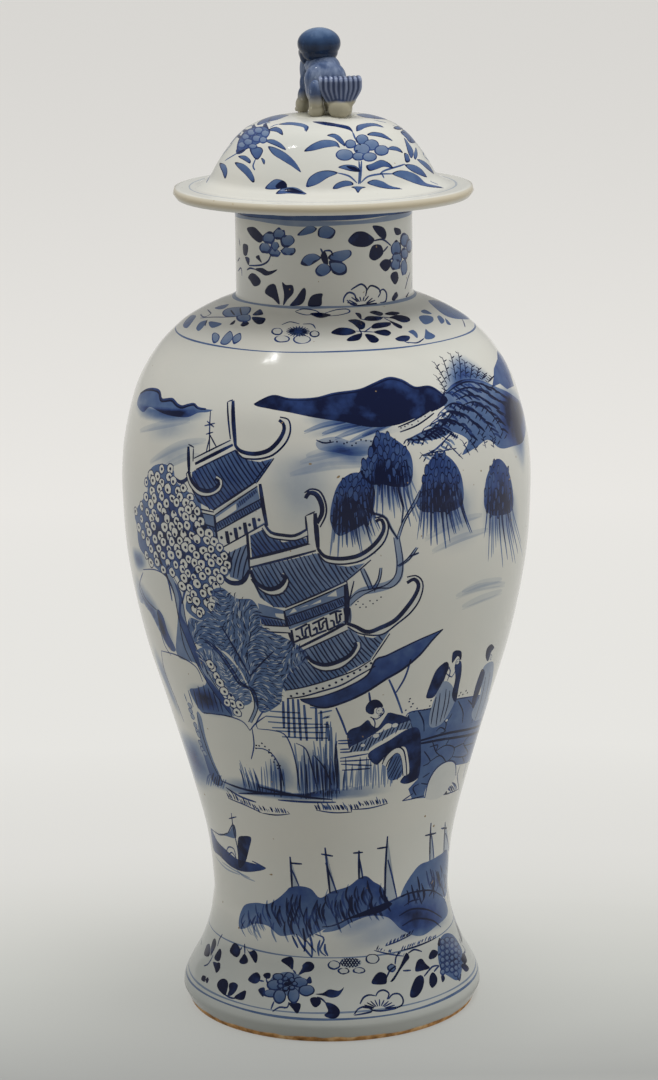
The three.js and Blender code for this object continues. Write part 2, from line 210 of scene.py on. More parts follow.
def painted_porcelain(glaze, shaded_glaze, cobalt_blue):
    """Hard-paste porcelain under a clear glaze, painted before firing. The eye gets a wet greyish white,
    cobalt that pools and thins inside each wash, a few iron specks, cream clay where the glaze runs thin on
    the cover's edge, painted shade that darkens the glaze towards the foot, a little bluer where glaze
    gathers there, and toasted biscuit where the foot was wiped."""
    material, tree, shader, place = new_material("painted_porcelain")
    ink = add(tree, "ShaderNodeAttribute", output="Fac", attribute_name="cobalt")
    pools = add(tree, "ShaderNodeTexNoise", {"Vector": place, "Scale": per_metre(7), "Detail": 5})
    pooling = add(tree, "ShaderNodeMapRange", {
        "Value": pools, "From Min": 0.3, "From Max": 0.7, "To Min": 0.86, "To Max": 1.13})
    soaked = add(tree, "ShaderNodeMath", {0: ink, 1: pooling}, operation="MULTIPLY", use_clamp=True)
    clouds = add(tree, "ShaderNodeTexNoise", {"Vector": place, "Scale": per_metre(45), "Detail": 3})
    body = add(tree, "ShaderNodeMix", {0: clouds, 6: shaded_glaze, 7: glaze}, 2, data_type="RGBA")
    blue = add(tree, "ShaderNodeValToRGB", {"Fac": soaked}, stops=(
        (0.0, "#ffffff"), (0.12, "#ccd5e5"), (0.3, "#98abd0"), (0.5, "#6380b6"), (0.72, "#38549a"),
        (0.95, cobalt_blue)))
    painted = add(
        tree, "ShaderNodeMix", {0: 1.0, 6: body, 7: blue}, 2, data_type="RGBA", blend_type="MULTIPLY")
    grains = add(tree, "ShaderNodeTexNoise", {"Vector": place, "Scale": per_metre(3.2), "Detail": 1})
    specks = add(tree, "ShaderNodeMapRange", {"Value": grains, "From Min": 0.79, "From Max": 0.81})
    spotted = add(tree, "ShaderNodeMix", {0: specks, 6: painted, 7: "#7d6a4e"}, 2, data_type="RGBA")
    height = add(tree, "ShaderNodeSeparateXYZ", {0: place}, "Z")
    flat = add(tree, "ShaderNodeVectorMath", {0: place, 1: (1, 1, 0)}, operation="MULTIPLY")
    radius = add(tree, "ShaderNodeVectorMath", {0: flat}, "Value", operation="LENGTH")
    outer = add(tree, "ShaderNodeMapRange", {
        "Value": radius, "From Min": (FLANGE_RADIUS - 1.5) * MM, "From Max": (FLANGE_RADIUS - 0.2) * MM})
    upper = add(tree, "ShaderNodeMapRange", {
        "Value": height, "From Min": (FLANGE_SEAT - 3) * MM, "From Max": (FLANGE_SEAT - 2) * MM,
        "To Max": 0.8})
    thin = add(tree, "ShaderNodeMath", {0: outer, 1: upper}, operation="MULTIPLY")
    edged = add(tree, "ShaderNodeMix", {0: thin, 6: spotted, 7: "#a69a80"}, 2, data_type="RGBA")
    # Painted shade: glaze and cobalt darken towards the foot, under the belly's overhang, a little bluer
    # where glaze gathers
    foot = add(tree, "ShaderNodeMapRange", {
        "Value": height, "From Min": FOOT_SHADE_AND_POOL_HEIGHTS[0] * MM, "From Max": FOOT_SHADE_AND_POOL_HEIGHTS[1] * MM,
        "To Min": 1.0, "To Max": 0.0})
    foot_shade_and_pool = add(
        tree, "ShaderNodeMix", {0: foot, 6: edged, 7: "#dde1e4"}, 2, data_type="RGBA", blend_type="MULTIPLY")
    drips = add(tree, "ShaderNodeTexNoise", {"Vector": place, "Scale": per_metre(9)})
    edge = add(tree, "ShaderNodeMath", {0: drips, 1: 2.2 * MM, 2: height}, operation="MULTIPLY_ADD")
    wiped = add(tree, "ShaderNodeMapRange", {
        "Value": edge, "From Min": WIPED_HEIGHTS[0] * MM, "From Max": WIPED_HEIGHTS[1] * MM,
        "To Min": 1.0, "To Max": 0.0})
    toast = add(tree, "ShaderNodeTexNoise", {"Vector": place, "Scale": per_metre(4), "Detail": 4})
    iron = add(tree, "ShaderNodeValToRGB", {"Fac": toast}, stops=(
        (0.3, "#7c5834"), (0.5, "#b98a55"), (0.68, "#d2b183")))
    colour = add(tree, "ShaderNodeMix", {0: wiped, 6: foot_shade_and_pool, 7: iron}, 2, data_type="RGBA")
    tree.links.new(colour, shader.inputs["Base Color"])
    gloss = add(tree, "ShaderNodeMapRange", {"Value": clouds, "To Min": 0.09, "To Max": 0.17})
    rough = add(tree, "ShaderNodeMath", {0: wiped, 1: 0.6, 2: gloss}, operation="MULTIPLY_ADD")
    tree.links.new(rough, shader.inputs["Roughness"])
    shader.inputs["IOR"].default_value = GLAZE_IOR
    shader.inputs["Specular IOR Level"].default_value = GLAZE_MIRROR
    ripples = add(tree, "ShaderNodeTexNoise", {"Vector": place, "Scale": per_metre(11), "Detail": 2})
    waves = add(tree, "ShaderNodeBump", {"Height": ripples, "Strength": 0.15, "Distance": 0.4 * MM})
    tree.links.new(waves, shader.inputs["Normal"])
    return material


# The thrown outlines


def smooth_curve(knots, per_span=24):
    """Points along a Catmull-Rom curve through the knots."""
    knots = np.array(knots, float)
    last = len(knots) - 1
    spans = np.linspace(0, last, last * per_span + 1)
    index = np.minimum(spans.astype(int), last - 1)
    t = (spans - index)[:, None]
    before, start = knots[np.maximum(index - 1, 0)], knots[index]
    end, after = knots[index + 1], knots[np.minimum(index + 2, last)]
    out, into = (end - before) / 2, (after - start) / 2
    return ((2 * start - 2 * end + out + into) * t ** 3 + (3 * end - 3 * start - 2 * out - into) * t ** 2
            + out * t + start)


def by_shares(low, high, shares):
    """Knots of a stretch between two (radius, height) ends."""
    return [(low[0] + (high[0] - low[0]) * change, low[1] + (high[1] - low[1]) * rise)
            for rise, change in shares]


def straight(start, end, step=1.0):
    count = max(2, int(math.dist(start, end) / step) + 1)
    return np.linspace(start, end, count)


def arc(centre, radius, from_degrees, to_degrees, count=9):
    turns = np.radians(np.linspace(from_degrees, to_degrees, count))
    return np.stack([centre[0] + radius * np.cos(turns), centre[1] + radius * np.sin(turns)], 1)


def chart_lengths(points):
    """Running length along an outline over the radius."""
    steps = np.linalg.norm(np.diff(points, axis=0), axis=1)
    return np.concatenate([[0], np.cumsum(2 * steps / (points[1:, 0] + points[:-1, 0]))])


def outward_of(points):
    """Unit (radial, upward) directions square to an outline, on its right-hand side."""
    along = np.gradient(points, axis=0)
    along /= np.linalg.norm(along, axis=1)[:, None]
    return np.stack([along[:, 1], -along[:, 0]], 1)


def inset(run, thickness):
    """A run of outline moved inwards, square to itself."""
    return run - outward_of(run) * thickness


FOOT_POINT = (FOOT_RADIUS, FOOT_EDGE)
WAIST_POINT = (WAIST_RADIUS, WAIST_HEIGHT)
BELLY_POINT = (BELLY_RADIUS, BELLY_HEIGHT)
NECK_POINT = (NECK_RADIUS, NECK_BASE)

BODY_CURVE = smooth_curve(
    by_shares(FOOT_POINT, WAIST_POINT, FOOT_SHARES)
    + by_shares(WAIST_POINT, BELLY_POINT, BODY_SHARES)[1:]
    + by_shares(BELLY_POINT, NECK_POINT, SHOULDER_SHARES)[1:]
)


class Outline:
    """A turned piece's closed outline as runs of (radius, height) with corners between them. It runs up the
    outside and down the inside. Its chart has the angle round the axis and the length along the outline
    over the radius, in which a brush stroke keeps its shape. The painted run brings its own chart."""

    def __init__(self, before, painted, after, closed):
        self.runs = []
        length = 0.0
        for run in (*before, painted, *after):
            if run is painted:
                q, points = run
                self.start = length
                self.low, self.high = q[0], q[-1]
                q = q - q[0] + length
            else:
                points = np.array(run, float)
                q = length + chart_lengths(points)
            self.runs.append((q, points, outward_of(points)))
            length = q[-1]
        self.length = length
        self.closed = closed

    def corners(self):
        return [run[0][0] for run in self.runs] + [self.length]

    def place(self, q):
        """Radius and height at chart length q, for an array."""
        all_q = np.concatenate([run[0] for run in self.runs])
        points = np.concatenate([run[1] for run in self.runs])
        return np.interp(q, all_q, points[:, 0]), np.interp(q, all_q, points[:, 1])

    def outward(self, q, middle):
        """Radial and upward parts of the outward direction at q, on the run that holds middle."""
        radial, upward = np.zeros(len(q)), np.zeros(len(q))
        for run_q, _, outward in self.runs:
            here = (middle >= run_q[0]) & (middle <= run_q[-1])
            radial[here] = np.interp(q[here], run_q, outward[:, 0])
            upward[here] = np.interp(q[here], run_q, outward[:, 1])
        return radial, upward

    def painted(self, middle):
        return (middle > self.start) & (middle < self.start + self.high - self.low)

    def bake_layout(self, angle, q, middle_angle, middle_q, strips):
        """Texture places: the painted run cut into strips, stacked, and the rest in a band above them."""
        span, gap, share = FULL_TURN / strips, 0.05, 0.9
        strip = np.clip(((middle_angle + math.pi) / span).astype(int), 0, strips - 1)
        tall = self.high - self.low
        u = (angle + math.pi - strip * span + gap) / (span + 2 * gap)
        v = (strip + (q - self.start + gap) / (tall + 2 * gap)) * share / strips
        rest = np.where(middle_q > self.start, q - tall, q) / max(self.length - tall, 1e-6)
        painted = self.painted(middle_q)
        u = np.where(painted, u, (angle + math.pi) / FULL_TURN)
        v = np.where(painted, v, share + 0.01 + (0.98 - share) * rest)
        return np.stack([np.clip(u, 0, 1), np.clip(v, 0, 1)], 1)


# The painter's chart: one table from height to radius and chart length for the vase, one for the cover


class Surface:
    """The painted outside of a turned form: a rising run of outline and its chart lengths."""

    def __init__(self, run):
        self.run = np.array(run, float)
        self.q = chart_lengths(self.run)

    def radius_at(self, q):
        return np.interp(q, self.q, self.run[:, 0])

    def q_at_height(self, height):
        return float(np.interp(height, self.run[:, 1], self.q))

    def cut(self, low, high):
        """The run between two chart lengths, as (chart lengths, points)."""
        inside = (self.q > low + 1e-4) & (self.q < high - 1e-4)
        q = np.concatenate([[low], self.q[inside], [high]])
        return q, np.stack([np.interp(q, self.q, self.run[:, 0]), np.interp(q, self.q, self.run[:, 1])], 1)

    def between(self, low, high):
        return self.cut(self.q_at_height(low), self.q_at_height(high))

    def from_pixels(self, pixels):
        """Chart points where the photograph's pixels meet the surface, or pass nearest to it."""
        origin, rays = pixel_rays(pixels)
        flat = np.linalg.norm(rays[:, :2], axis=1)
        nearest = -(rays[:, 0] * origin[0] + rays[:, 1] * origin[1]) / flat ** 2
        reach = self.run[:, 0].max() * 1.05 / flat
        t = (nearest - reach)[:, None] + (reach * 1.15)[:, None] * np.linspace(0, 1, 160)[None, :]
        points = origin + rays[:, None, :] * t[:, :, None]
        away = np.hypot(points[..., 0], points[..., 1])
        depth = away - np.interp(points[..., 2], self.run[:, 1], self.run[:, 0], left=0, right=0)
        hit = (depth <= 0).any(1)
        first = np.where(hit, (depth <= 0).argmax(1), depth.argmin(1))
        before = np.maximum(first - 1, 0)
        rows = np.arange(len(pixels))
        a, b = depth[rows, before], depth[rows, first]
        share = np.where(hit & (a > b), a / np.maximum(a - b, 1e-9), 1.0)
        when = t[rows, before] + (t[rows, first] - t[rows, before]) * np.clip(share, 0, 1)
        spots = origin + rays * when[:, None]
        section = np.stack([np.hypot(spots[:, 0], spots[:, 1]), spots[:, 2]], 1)
        closest = np.linalg.norm(section[:, None, :] - self.run[None, :, :], axis=2).argmin(1)
        return np.stack([np.arctan2(spots[:, 0], -spots[:, 1]), self.q[closest]], 1)


def camera_axes():
    down, roll = math.radians(CAMERA_DOWN), math.radians(CAMERA_ROLL)
    forward = np.array([0, math.cos(down), -math.sin(down)])
    side, up = np.array([1.0, 0, 0]), np.array([0, math.sin(down), math.cos(down)])
    right = math.cos(roll) * side + math.sin(roll) * up
    top = -math.sin(roll) * side + math.cos(roll) * up
    return forward, right, top


def pixel_rays(pixels):
    forward, right, top = camera_axes()
    across = (pixels[:, 0] - IMAGE_WIDTH / 2) / CAMERA_FOCAL_PIXELS
    rise = (IMAGE_HEIGHT / 2 - pixels[:, 1]) / CAMERA_FOCAL_PIXELS
    rays = forward + across[:, None] * right + rise[:, None] * top
    return np.array(CAMERA_PLACE), rays


FLANGE_TOP = FLANGE_SEAT + FLANGE_THICKNESS
FOOT_SIDE = straight((FOOT_RIM_RADIUS, 0), (FOOT_RADIUS, FOOT_EDGE))
NECK_SIDE = straight(NECK_POINT, (NECK_RADIUS, VASE_HEIGHT))
DOME_CURVE = smooth_curve([
    (DOME_RADIUS - (DOME_RADIUS - DOME_FLAT) * inwards, FLANGE_TOP + (DOME_TOP - FLANGE_TOP) * up)
    for up, inwards in ((0, -0.16),) + DOME_SHARES
])
FLANGE_EDGE = FLANGE_RADIUS - FLANGE_ROUND

VASE = Surface(np.vstack([FOOT_SIDE[:-1], BODY_CURVE, NECK_SIDE[1:]]))
COVER = Surface(np.vstack([
    [(FLANGE_RADIUS, FLANGE_SEAT), (FLANGE_RADIUS, FLANGE_TOP - FLANGE_ROUND)],
    arc((FLANGE_EDGE, FLANGE_TOP - FLANGE_ROUND), FLANGE_ROUND, 0, 89)[1:],
    straight((FLANGE_EDGE - 0.1, FLANGE_TOP - 0.001), (DOME_CURVE[0][0], FLANGE_TOP - 0.0005))[:-1],
    DOME_CURVE,
]))


# The brush

# A stroke grows this much as its cobalt sinks into the glaze
BRUSH_SPREAD = 1.4


def thinned(points, gap):
    """Leaves out points closer than the gap to the one kept before, but keeps both ends."""
    kept = [points[0]]
    for point in points[1:-1]:
        if math.dist(point, kept[-1]) >= gap and math.dist(point, points[-1]) >= gap:
            kept.append(point)
    kept.append(points[-1])
    return np.array(kept)


def clipped(outline, low, high):
    """A closed outline cut off below and above two chart lengths."""
    for level, side in ((low, 1), (high, -1)):
        out = []
        for a, b in zip(outline, np.roll(outline, -1, axis=0)):
            inside_a, inside_b = (a[1] - level) * side >= 0, (b[1] - level) * side >= 0
            if inside_a:
                out.append(a)
            if inside_a != inside_b:
                out.append(a + (b - a) * (level - a[1]) / (b[1] - a[1]))
        outline = np.array(out)
        if len(outline) < 3:
            return None
    return outline


class Shape:
    """One painted shape: its outline in chart coordinates and how strong its ink is at any point in it."""

    def __init__(self, outline, ink, fade, keep, soft):
        self.outline, self.ink, self.fade, self.keep, self.soft = outline, ink, fade, keep, soft
        self.low, self.high = outline[:, 1].min(), outline[:, 1].max()
        self.middle = outline.mean(0)
        arms = outline - self.middle
        turns = np.arctan2(arms[:, 1], arms[:, 0])
        self.turns, self.reach = turns[turns.argsort()], np.linalg.norm(arms, axis=1)[turns.argsort()]

    def strength(self, points):
        share = (points[..., 1] - self.low) / max(self.high - self.low, 1e-6)
        ink = self.ink + self.fade * (1 - 2 * share)
        if self.soft:
            arms = points - self.middle
            turns = np.arctan2(arms[..., 1], arms[..., 0])
            reach = np.interp(turns, self.turns, self.reach, period=FULL_TURN)
            rise = np.clip((1 - np.linalg.norm(arms, axis=-1) / reach) / self.soft, 0, 1)
            ink = ink * rise ** 2 * (3 - 2 * rise)
        return np.clip(ink, 0, 1)


class Painting:
    """Painted shapes on a surface, in chart coordinates, later shapes over earlier ones."""

    def __init__(self, surface):
        self.surface = surface
        self.shapes = []

    def add(self, outline, ink, fade=0.0, keep=1.0, soft=0.0):
        """Adds a closed outline. Its ink runs from ink - fade at its top to ink + fade at its foot, over keep
        times what was there, and a soft one thins out towards its edge."""
        outline = np.array(outline, float)
        turned = np.roll(outline, -1, axis=0)
        area = (outline[:, 0] * turned[:, 1] - turned[:, 0] * outline[:, 1]).sum()
        if abs(area) > 1e-7:
            self.shapes.append(Shape(outline[::-1] if area < 0 else outline, ink, fade, keep, soft))


class Pen:
    """A brush held as the photograph sees the vase, turned round it by an azimuth, and scaled or mirrored
    about the picture's middle. Its curves have a number of steps between two points, and its leaves lie close
    or wide apart."""

    def __init__(self, painting, azimuth=0.0, scale=1.0, mirror=False, steps=6, wide=1.0):
        self.painting = painting
        self.surface = painting.surface
        self.azimuth = math.radians(azimuth)
        self.middle = np.array([IMAGE_WIDTH / 2, IMAGE_HEIGHT / 2])
        self.scale = np.array([-scale if mirror else scale, scale])
        self.steps, self.wide = steps, wide

    def spots(self, points):
        """Pixel points as chart points."""
        chart = self.surface.from_pixels(self.middle + (np.array(points, float) - self.middle) * self.scale)
        chart[:, 0] += self.azimuth
        return chart

    def line(self, points, width=0.6, ink=0.9, tips=0.35):
        """A stroke through pixels, fullest at its middle, its tips a share of its width in mm."""
        chart = self.spots(points)
        spine = smooth_curve(chart, self.steps) if len(chart) > 2 else np.linspace(chart[0], chart[-1], 5)
        spine = thinned(spine, 0.012)
        along = np.gradient(spine, axis=0)
        along /= np.maximum(np.linalg.norm(along, axis=1), 1e-9)[:, None]
        swell = tips + (1 - tips) * np.sin(math.pi * np.linspace(0.02, 0.98, len(spine))) ** 0.6
        half = width * BRUSH_SPREAD / 2 * swell / self.surface.radius_at(spine[:, 1])
        across = np.stack([-along[:, 1], along[:, 0]], 1) * half[:, None]
        self.painting.add(np.vstack([spine + across, (spine - across)[::-1]]), ink)

    def lines(self, strokes, width=0.6, ink=0.9, tips=0.35):
        for points in strokes:
            self.line(points, width, ink, tips)

    def wash(self, points, ink=0.4, fade=0.0, keep=1.0):
        """A filled shape with a smooth outline through the points."""
        self.painting.add(self.rounded(points), ink, fade, keep)

    def rounded(self, points):
        """A smooth closed outline through pixel points, as chart points."""
        chart = self.spots(points)
        steps = self.steps - 1
        curve = smooth_curve(np.vstack([chart[-1], chart, chart[:2]]), steps)
        return thinned(curve[steps:-steps], 0.008)

    def patch(self, points, ink=0.4, fade=0.0, keep=1.0):
        """A filled shape with straight sides."""
        self.painting.add(self.spots(points), ink, fade, keep)

    def stamp(self, at, shape, turn=0.0, ink=0.8, keep=1.0):
        """A small closed shape in mm, x to the right and y up, turned in degrees, about a pixel point."""
        self.painting.add(self.local(at, shape, turn), ink, 0.0, keep)

    def local(self, at, shape, turn=0.0):
        """Points in mm about a pixel point as chart points."""
        spot = self.spots([at])[0]
        c, s = math.cos(math.radians(turn)), math.sin(math.radians(turn))
        shape = np.array(shape, float)
        turned = np.stack([shape[:, 0] * c - shape[:, 1] * s, shape[:, 0] * s + shape[:, 1] * c], 1)
        return spot + turned * np.sign(self.scale) / self.surface.radius_at(spot[1])


def ring(painting, height, width=0.6, ink=0.8, radius=None):
    """A line turned on the wheel at a height or radius, with the hand's small unevenness."""
    surface = painting.surface
    q = surface.q_at_height(height) if radius is None else float(
        np.interp(-radius, -surface.run[:, 0], surface.q))
    around = surface.radius_at(q)
    turns = np.linspace(-math.pi, math.pi, 145)
    sway = 0.25 / around * (np.sin(turns * 3 + height) + 0.4 * np.sin(turns * 7 + 1))
    half = width / 2 / around * (1 + 0.25 * np.sin(turns * 5 + 2 * height))
    top = np.stack([turns, q + sway + half], 1)
    low = np.stack([turns, q + sway - half], 1)
    painting.add(np.vstack([low, top[::-1]]), ink)


# Brushwork that repeats. Points and gaps are in the photograph's pixels, widths and stamped shapes in mm.

DARK = 0.92


def crossings(outline, lean):
    """A closed outline's corners with how far each lies across strokes of a lean (right per pixel down)."""
    outline = np.array(outline, float)
    return outline, outline[:, 0] - lean * outline[:, 1]


def hatch(pen, outline, lean, gap, width=0.42, ink=DARK, bow=0.0):
    """Parallel strokes that fill a straight-sided outline, each bowed by a share of its length."""
    outline, across = crossings(outline, lean)
    for offset in np.arange(across.min() + gap / 2, across.max(), gap):
        cuts = []
        for here, there, a, b in zip(outline, np.roll(outline, -1, axis=0), across, np.roll(across, -1)):
            if (a < offset) != (b < offset):
                cuts.append(here[1] + (there[1] - here[1]) * (offset - a) / (b - a))
        cuts.sort()
        for top, foot in zip(cuts[::2], cuts[1::2]):
            if foot - top > gap:
                middle = (top + foot) / 2
                pen.line([
                    (offset + lean * top, top), (offset + lean * middle - bow * (foot - top), middle),
                    (offset + lean * foot, foot)], width, ink, 0.6)


def within(outline, x, y):
    """Whether a pixel lies inside a straight-sided outline."""
    inside = False
    for (x1, y1), (x2, y2) in zip(outline, outline[1:] + outline[:1]):
        if (y1 > y) != (y2 > y) and x < x1 + (x2 - x1) * (y - y1) / (y2 - y1):
            inside = not inside
    return inside


def scattered(outline, gap, dice, stray=0.22):
    """Pixels in staggered rows inside an outline, each a little astray."""
    outline = list(outline)
    xs, ys = zip(*outline)
    y, row = min(ys) + gap * 0.4, 0
    while y < max(ys):
        x = min(xs) + gap * (0.3 + 0.5 * (row % 2))
        while x < max(xs):
            spot = x + dice.uniform(-stray, stray) * gap, y + dice.uniform(-stray, stray) * gap
            if within(outline, *spot):
                yield spot
            x += gap
        y += gap * 0.86
        row += 1


def blob(radius, corners=9, stretch=1.0, dice=None):
    """A round shape in mm, uneven if dice are given."""
    points = []
    for i in range(corners):
        turn = FULL_TURN * i / corners
        reach = radius * (dice.uniform(0.88, 1.12) if dice else 1)
        points.append((reach * math.cos(turn) * stretch, reach * math.sin(turn)))
    return points


def outlined(pen, at, shape, turn=0.0, line=0.35, ink=0.8, fill=0.04):
    """A stamped shape with a brushed outline and its own fill."""
    size = max(math.hypot(*point) for point in shape)
    pen.stamp(at, shape, turn, ink, 0)
    pen.stamp(at, [(x * (1 - line / size), y * (1 - line / size)) for x, y in shape], turn, fill, 0)


def dots(pen, spots, size=0.8, ink=DARK):
    for spot in spots:
        pen.stamp(spot, blob(size / 2, 7), 0, ink)


def dotted_leaves(pen, outline, gap, size, seed):
    """A crown of round white leaves, each ringed in blue with a dark dot."""
    dice = random.Random(seed)
    for spot in scattered(outline, gap * pen.wide, dice):
        round_leaf(pen, spot, size * dice.uniform(0.86, 1.06), dice)


def round_leaf(pen, spot, size, dice):
    outlined(pen, spot, blob(size / 2, 9, dice.uniform(0.85, 1.1), dice), 0, 0.55, 0.85, 0.0)
    dots(pen, [(spot[0] + dice.uniform(-0.6, 0.6), spot[1] + dice.uniform(-0.6, 0.6))], 1.5)


def comma(length, width, bend):
    """A short curved stroke's outline in mm, pointing right."""
    return [
        (-length / 2, -bend), (-length / 5, width / 2), (length / 4, width / 2 + bend / 3),
        (length / 2, -bend / 2), (length / 4, bend / 3 - width / 2), (-length / 5, -width / 2),
    ]


def feathers(pen, outline, gap, length, turn, seed, inks=((0.85, 1.0), (0.95, 1.0), (0.1, 0.0))):
    """Short curved strokes side by side, dark ones over light ones, as a tree's close foliage."""
    dice = random.Random(seed)
    for number, spot in enumerate(scattered(outline, gap * pen.wide, dice, 0.4)):
        ink, keep = inks[number % len(inks)]
        size = length * dice.uniform(0.75, 1.2)
        shape = comma(size, size * 0.13, size * dice.uniform(0.05, 0.2))
        fan = 60 * math.sin(spot[0] / 9) + 20 * math.sin(spot[1] / 7)
        pen.stamp(spot, shape, turn + fan + dice.uniform(-15, 15), ink, keep)


def soft_wash(pen, points, ink, fade=0.0):
    """A wash that thins out to nothing at its edge, with two unseen rings to carry its slope."""
    outline = pen.rounded(points)
    pen.painting.add(outline, ink, fade, 1.0, 1.0)
    middle = outline.mean(0)
    for share in (0.72, 0.4):
        pen.painting.add(middle + (outline - middle) * share, 0.0)


def banded(pen, first, second, first_width=1.2, second_width=0.5, ink=DARK):
    """A white band between two strokes, such as a roof's ridge, post or curled eave."""
    near, far = pen.spots(first), pen.spots(second)
    if len(first) > 2:
        near, far = smooth_curve(near, 5), smooth_curve(far, 5)
    pen.painting.add(np.vstack([near, far[::-1]]), 0.03, 0, 0)
    pen.line(first, first_width, ink, 0.6)
    pen.line(second, second_width, ink, 0.6)


def reeds(pen, low, high, count, tall, seed, ink=0.7, width=0.45, lean=0.0):
    """Upright strokes along a line between two pixels."""
    dice = random.Random(seed)
    for i in range(count):
        share = (i + dice.uniform(0.1, 0.9)) / count
        x = low[0] + (high[0] - low[0]) * share
        y = low[1] + (high[1] - low[1]) * share + dice.uniform(-0.1, 0.1) * tall
        reach = tall * dice.uniform(0.6, 1.1)
        sway = dice.uniform(-0.08, 0.08) + lean
        pen.line([(x, y), (x + sway * reach * 0.4, y - reach / 2), (x + sway * reach, y - reach)],
                 width * dice.uniform(0.7, 1.3), ink * dice.uniform(0.7, 1.15), 0.2)


def grass(pen, low, high, count, tall, seed, ink=0.8, lean=0.6):
    """A water line with short slanting blades on it."""
    pen.line([low, ((low[0] + high[0]) / 2, (low[1] + high[1]) / 2 + 1), high], 0.5, ink, 0.2)
    reeds(pen, low, high, count, tall, seed, ink, 0.55, lean)


def twig(pen, foot, top, teeth, reach, ink=0.85):
    """A bare twig with short side strokes up both sides."""
    pen.line([foot, top], 0.4, ink, 0.4)
    for i in range(teeth):
        share = (i + 0.6) / teeth
        x, y = foot[0] + (top[0] - foot[0]) * share, foot[1] + (top[1] - foot[1]) * share
        side = reach if i % 2 else -reach
        pen.line([(x, y), (x + side, y - reach * 0.7)], 0.4, ink, 0.3)


def leaf(pen, at, length, turn, width=0.34, ink=DARK, bend=0.12):
    """A pointed leaf from its stalk end, in mm, turned in degrees from rightwards."""
    half = width * length / 2
    bow = bend * length
    pen.stamp(at, [
        (0, 0), (length * 0.25, half * 0.8 + bow * 0.6), (length * 0.55, half + bow),
        (length * 0.8, half * 0.6 + bow * 0.5), (length, 0), (length * 0.75, -half * 0.6 + bow * 0.6),
        (length * 0.45, -half + bow), (length * 0.2, -half * 0.7 + bow * 0.5),
    ], turn, ink)


def leaves(pen, items, ink=DARK, width=0.34):
    """Leaves given as (stalk pixel, length in mm, turn in degrees)."""
    for at, length, turn in items:
        leaf(pen, at, length, turn, width, ink)


# The pavilion tower. Each roof: its body, the lean of its tiles, its wash.
ROOFS = (
    (((300, 650), (346, 628), (360, 636), (373, 637), (390, 631), (370, 660), (338, 677), (300, 690),
      (287, 693), (282, 687), (286, 676), (305, 660)), 0.75, 0.46),
    (((252.5, 567), (316, 553), (330, 565), (348, 567), (365, 562), (371, 558), (346, 581), (320, 594),
      (285, 608), (274, 607), (260, 597), (250, 576)), 0.66, 0.46),
    (((227, 553), (249, 543), (250, 570), (242, 581), (230, 576)), -0.25, 0.42),
    (((250, 535), (262.5, 530), (270, 538), (283, 542), (306, 538), (308, 545), (252, 560)), 0.75, 0.62),
    (((192, 472), (235, 450), (247.5, 460), (260, 462), (273, 458), (256, 484), (213, 511), (198, 502),
      (192, 490)), 0.66, 0.62),
)
STOREYS = (
    ((213, 513), (257, 485), (265, 523), (218, 550)),
    ((284, 610), (346, 583), (347, 621), (294, 647)),
    ((190, 505), (214, 513), (217, 538), (196, 536)),
    ((258, 604), (285, 611), (291, 633), (262, 629)),
)
STOREY_HATCHES = (
    ((216, 524), (262, 499), (263, 506), (216, 531)),
    ((286, 618), (345, 597), (346, 604), (287, 627)),
    ((192, 521), (215, 528), (215, 533), (193, 530)),
    ((260, 617), (285, 622), (286, 627), (262, 626)),
    ((237, 503), (256, 489), (257, 493), (238, 508)),
)
WHITE_PANELS = (
    ((216, 517), (236, 503.5), (236.5, 509), (216.5, 523)),
    ((216.5, 532), (263, 507), (265, 522), (218, 549)),
    ((289, 629), (343, 607), (345, 621), (295, 645)),
    ((275, 612), (284, 613.5), (285, 620), (276, 618)),
    ((289, 614), (294, 608.5), (297, 611.5)), ((299, 608), (306, 604), (309, 606.5)),
    ((310, 605), (321, 599), (321, 602)), ((327, 596), (336, 591), (337, 595)),
    ((348, 583), (354, 579), (352, 592), (348, 600)),
)
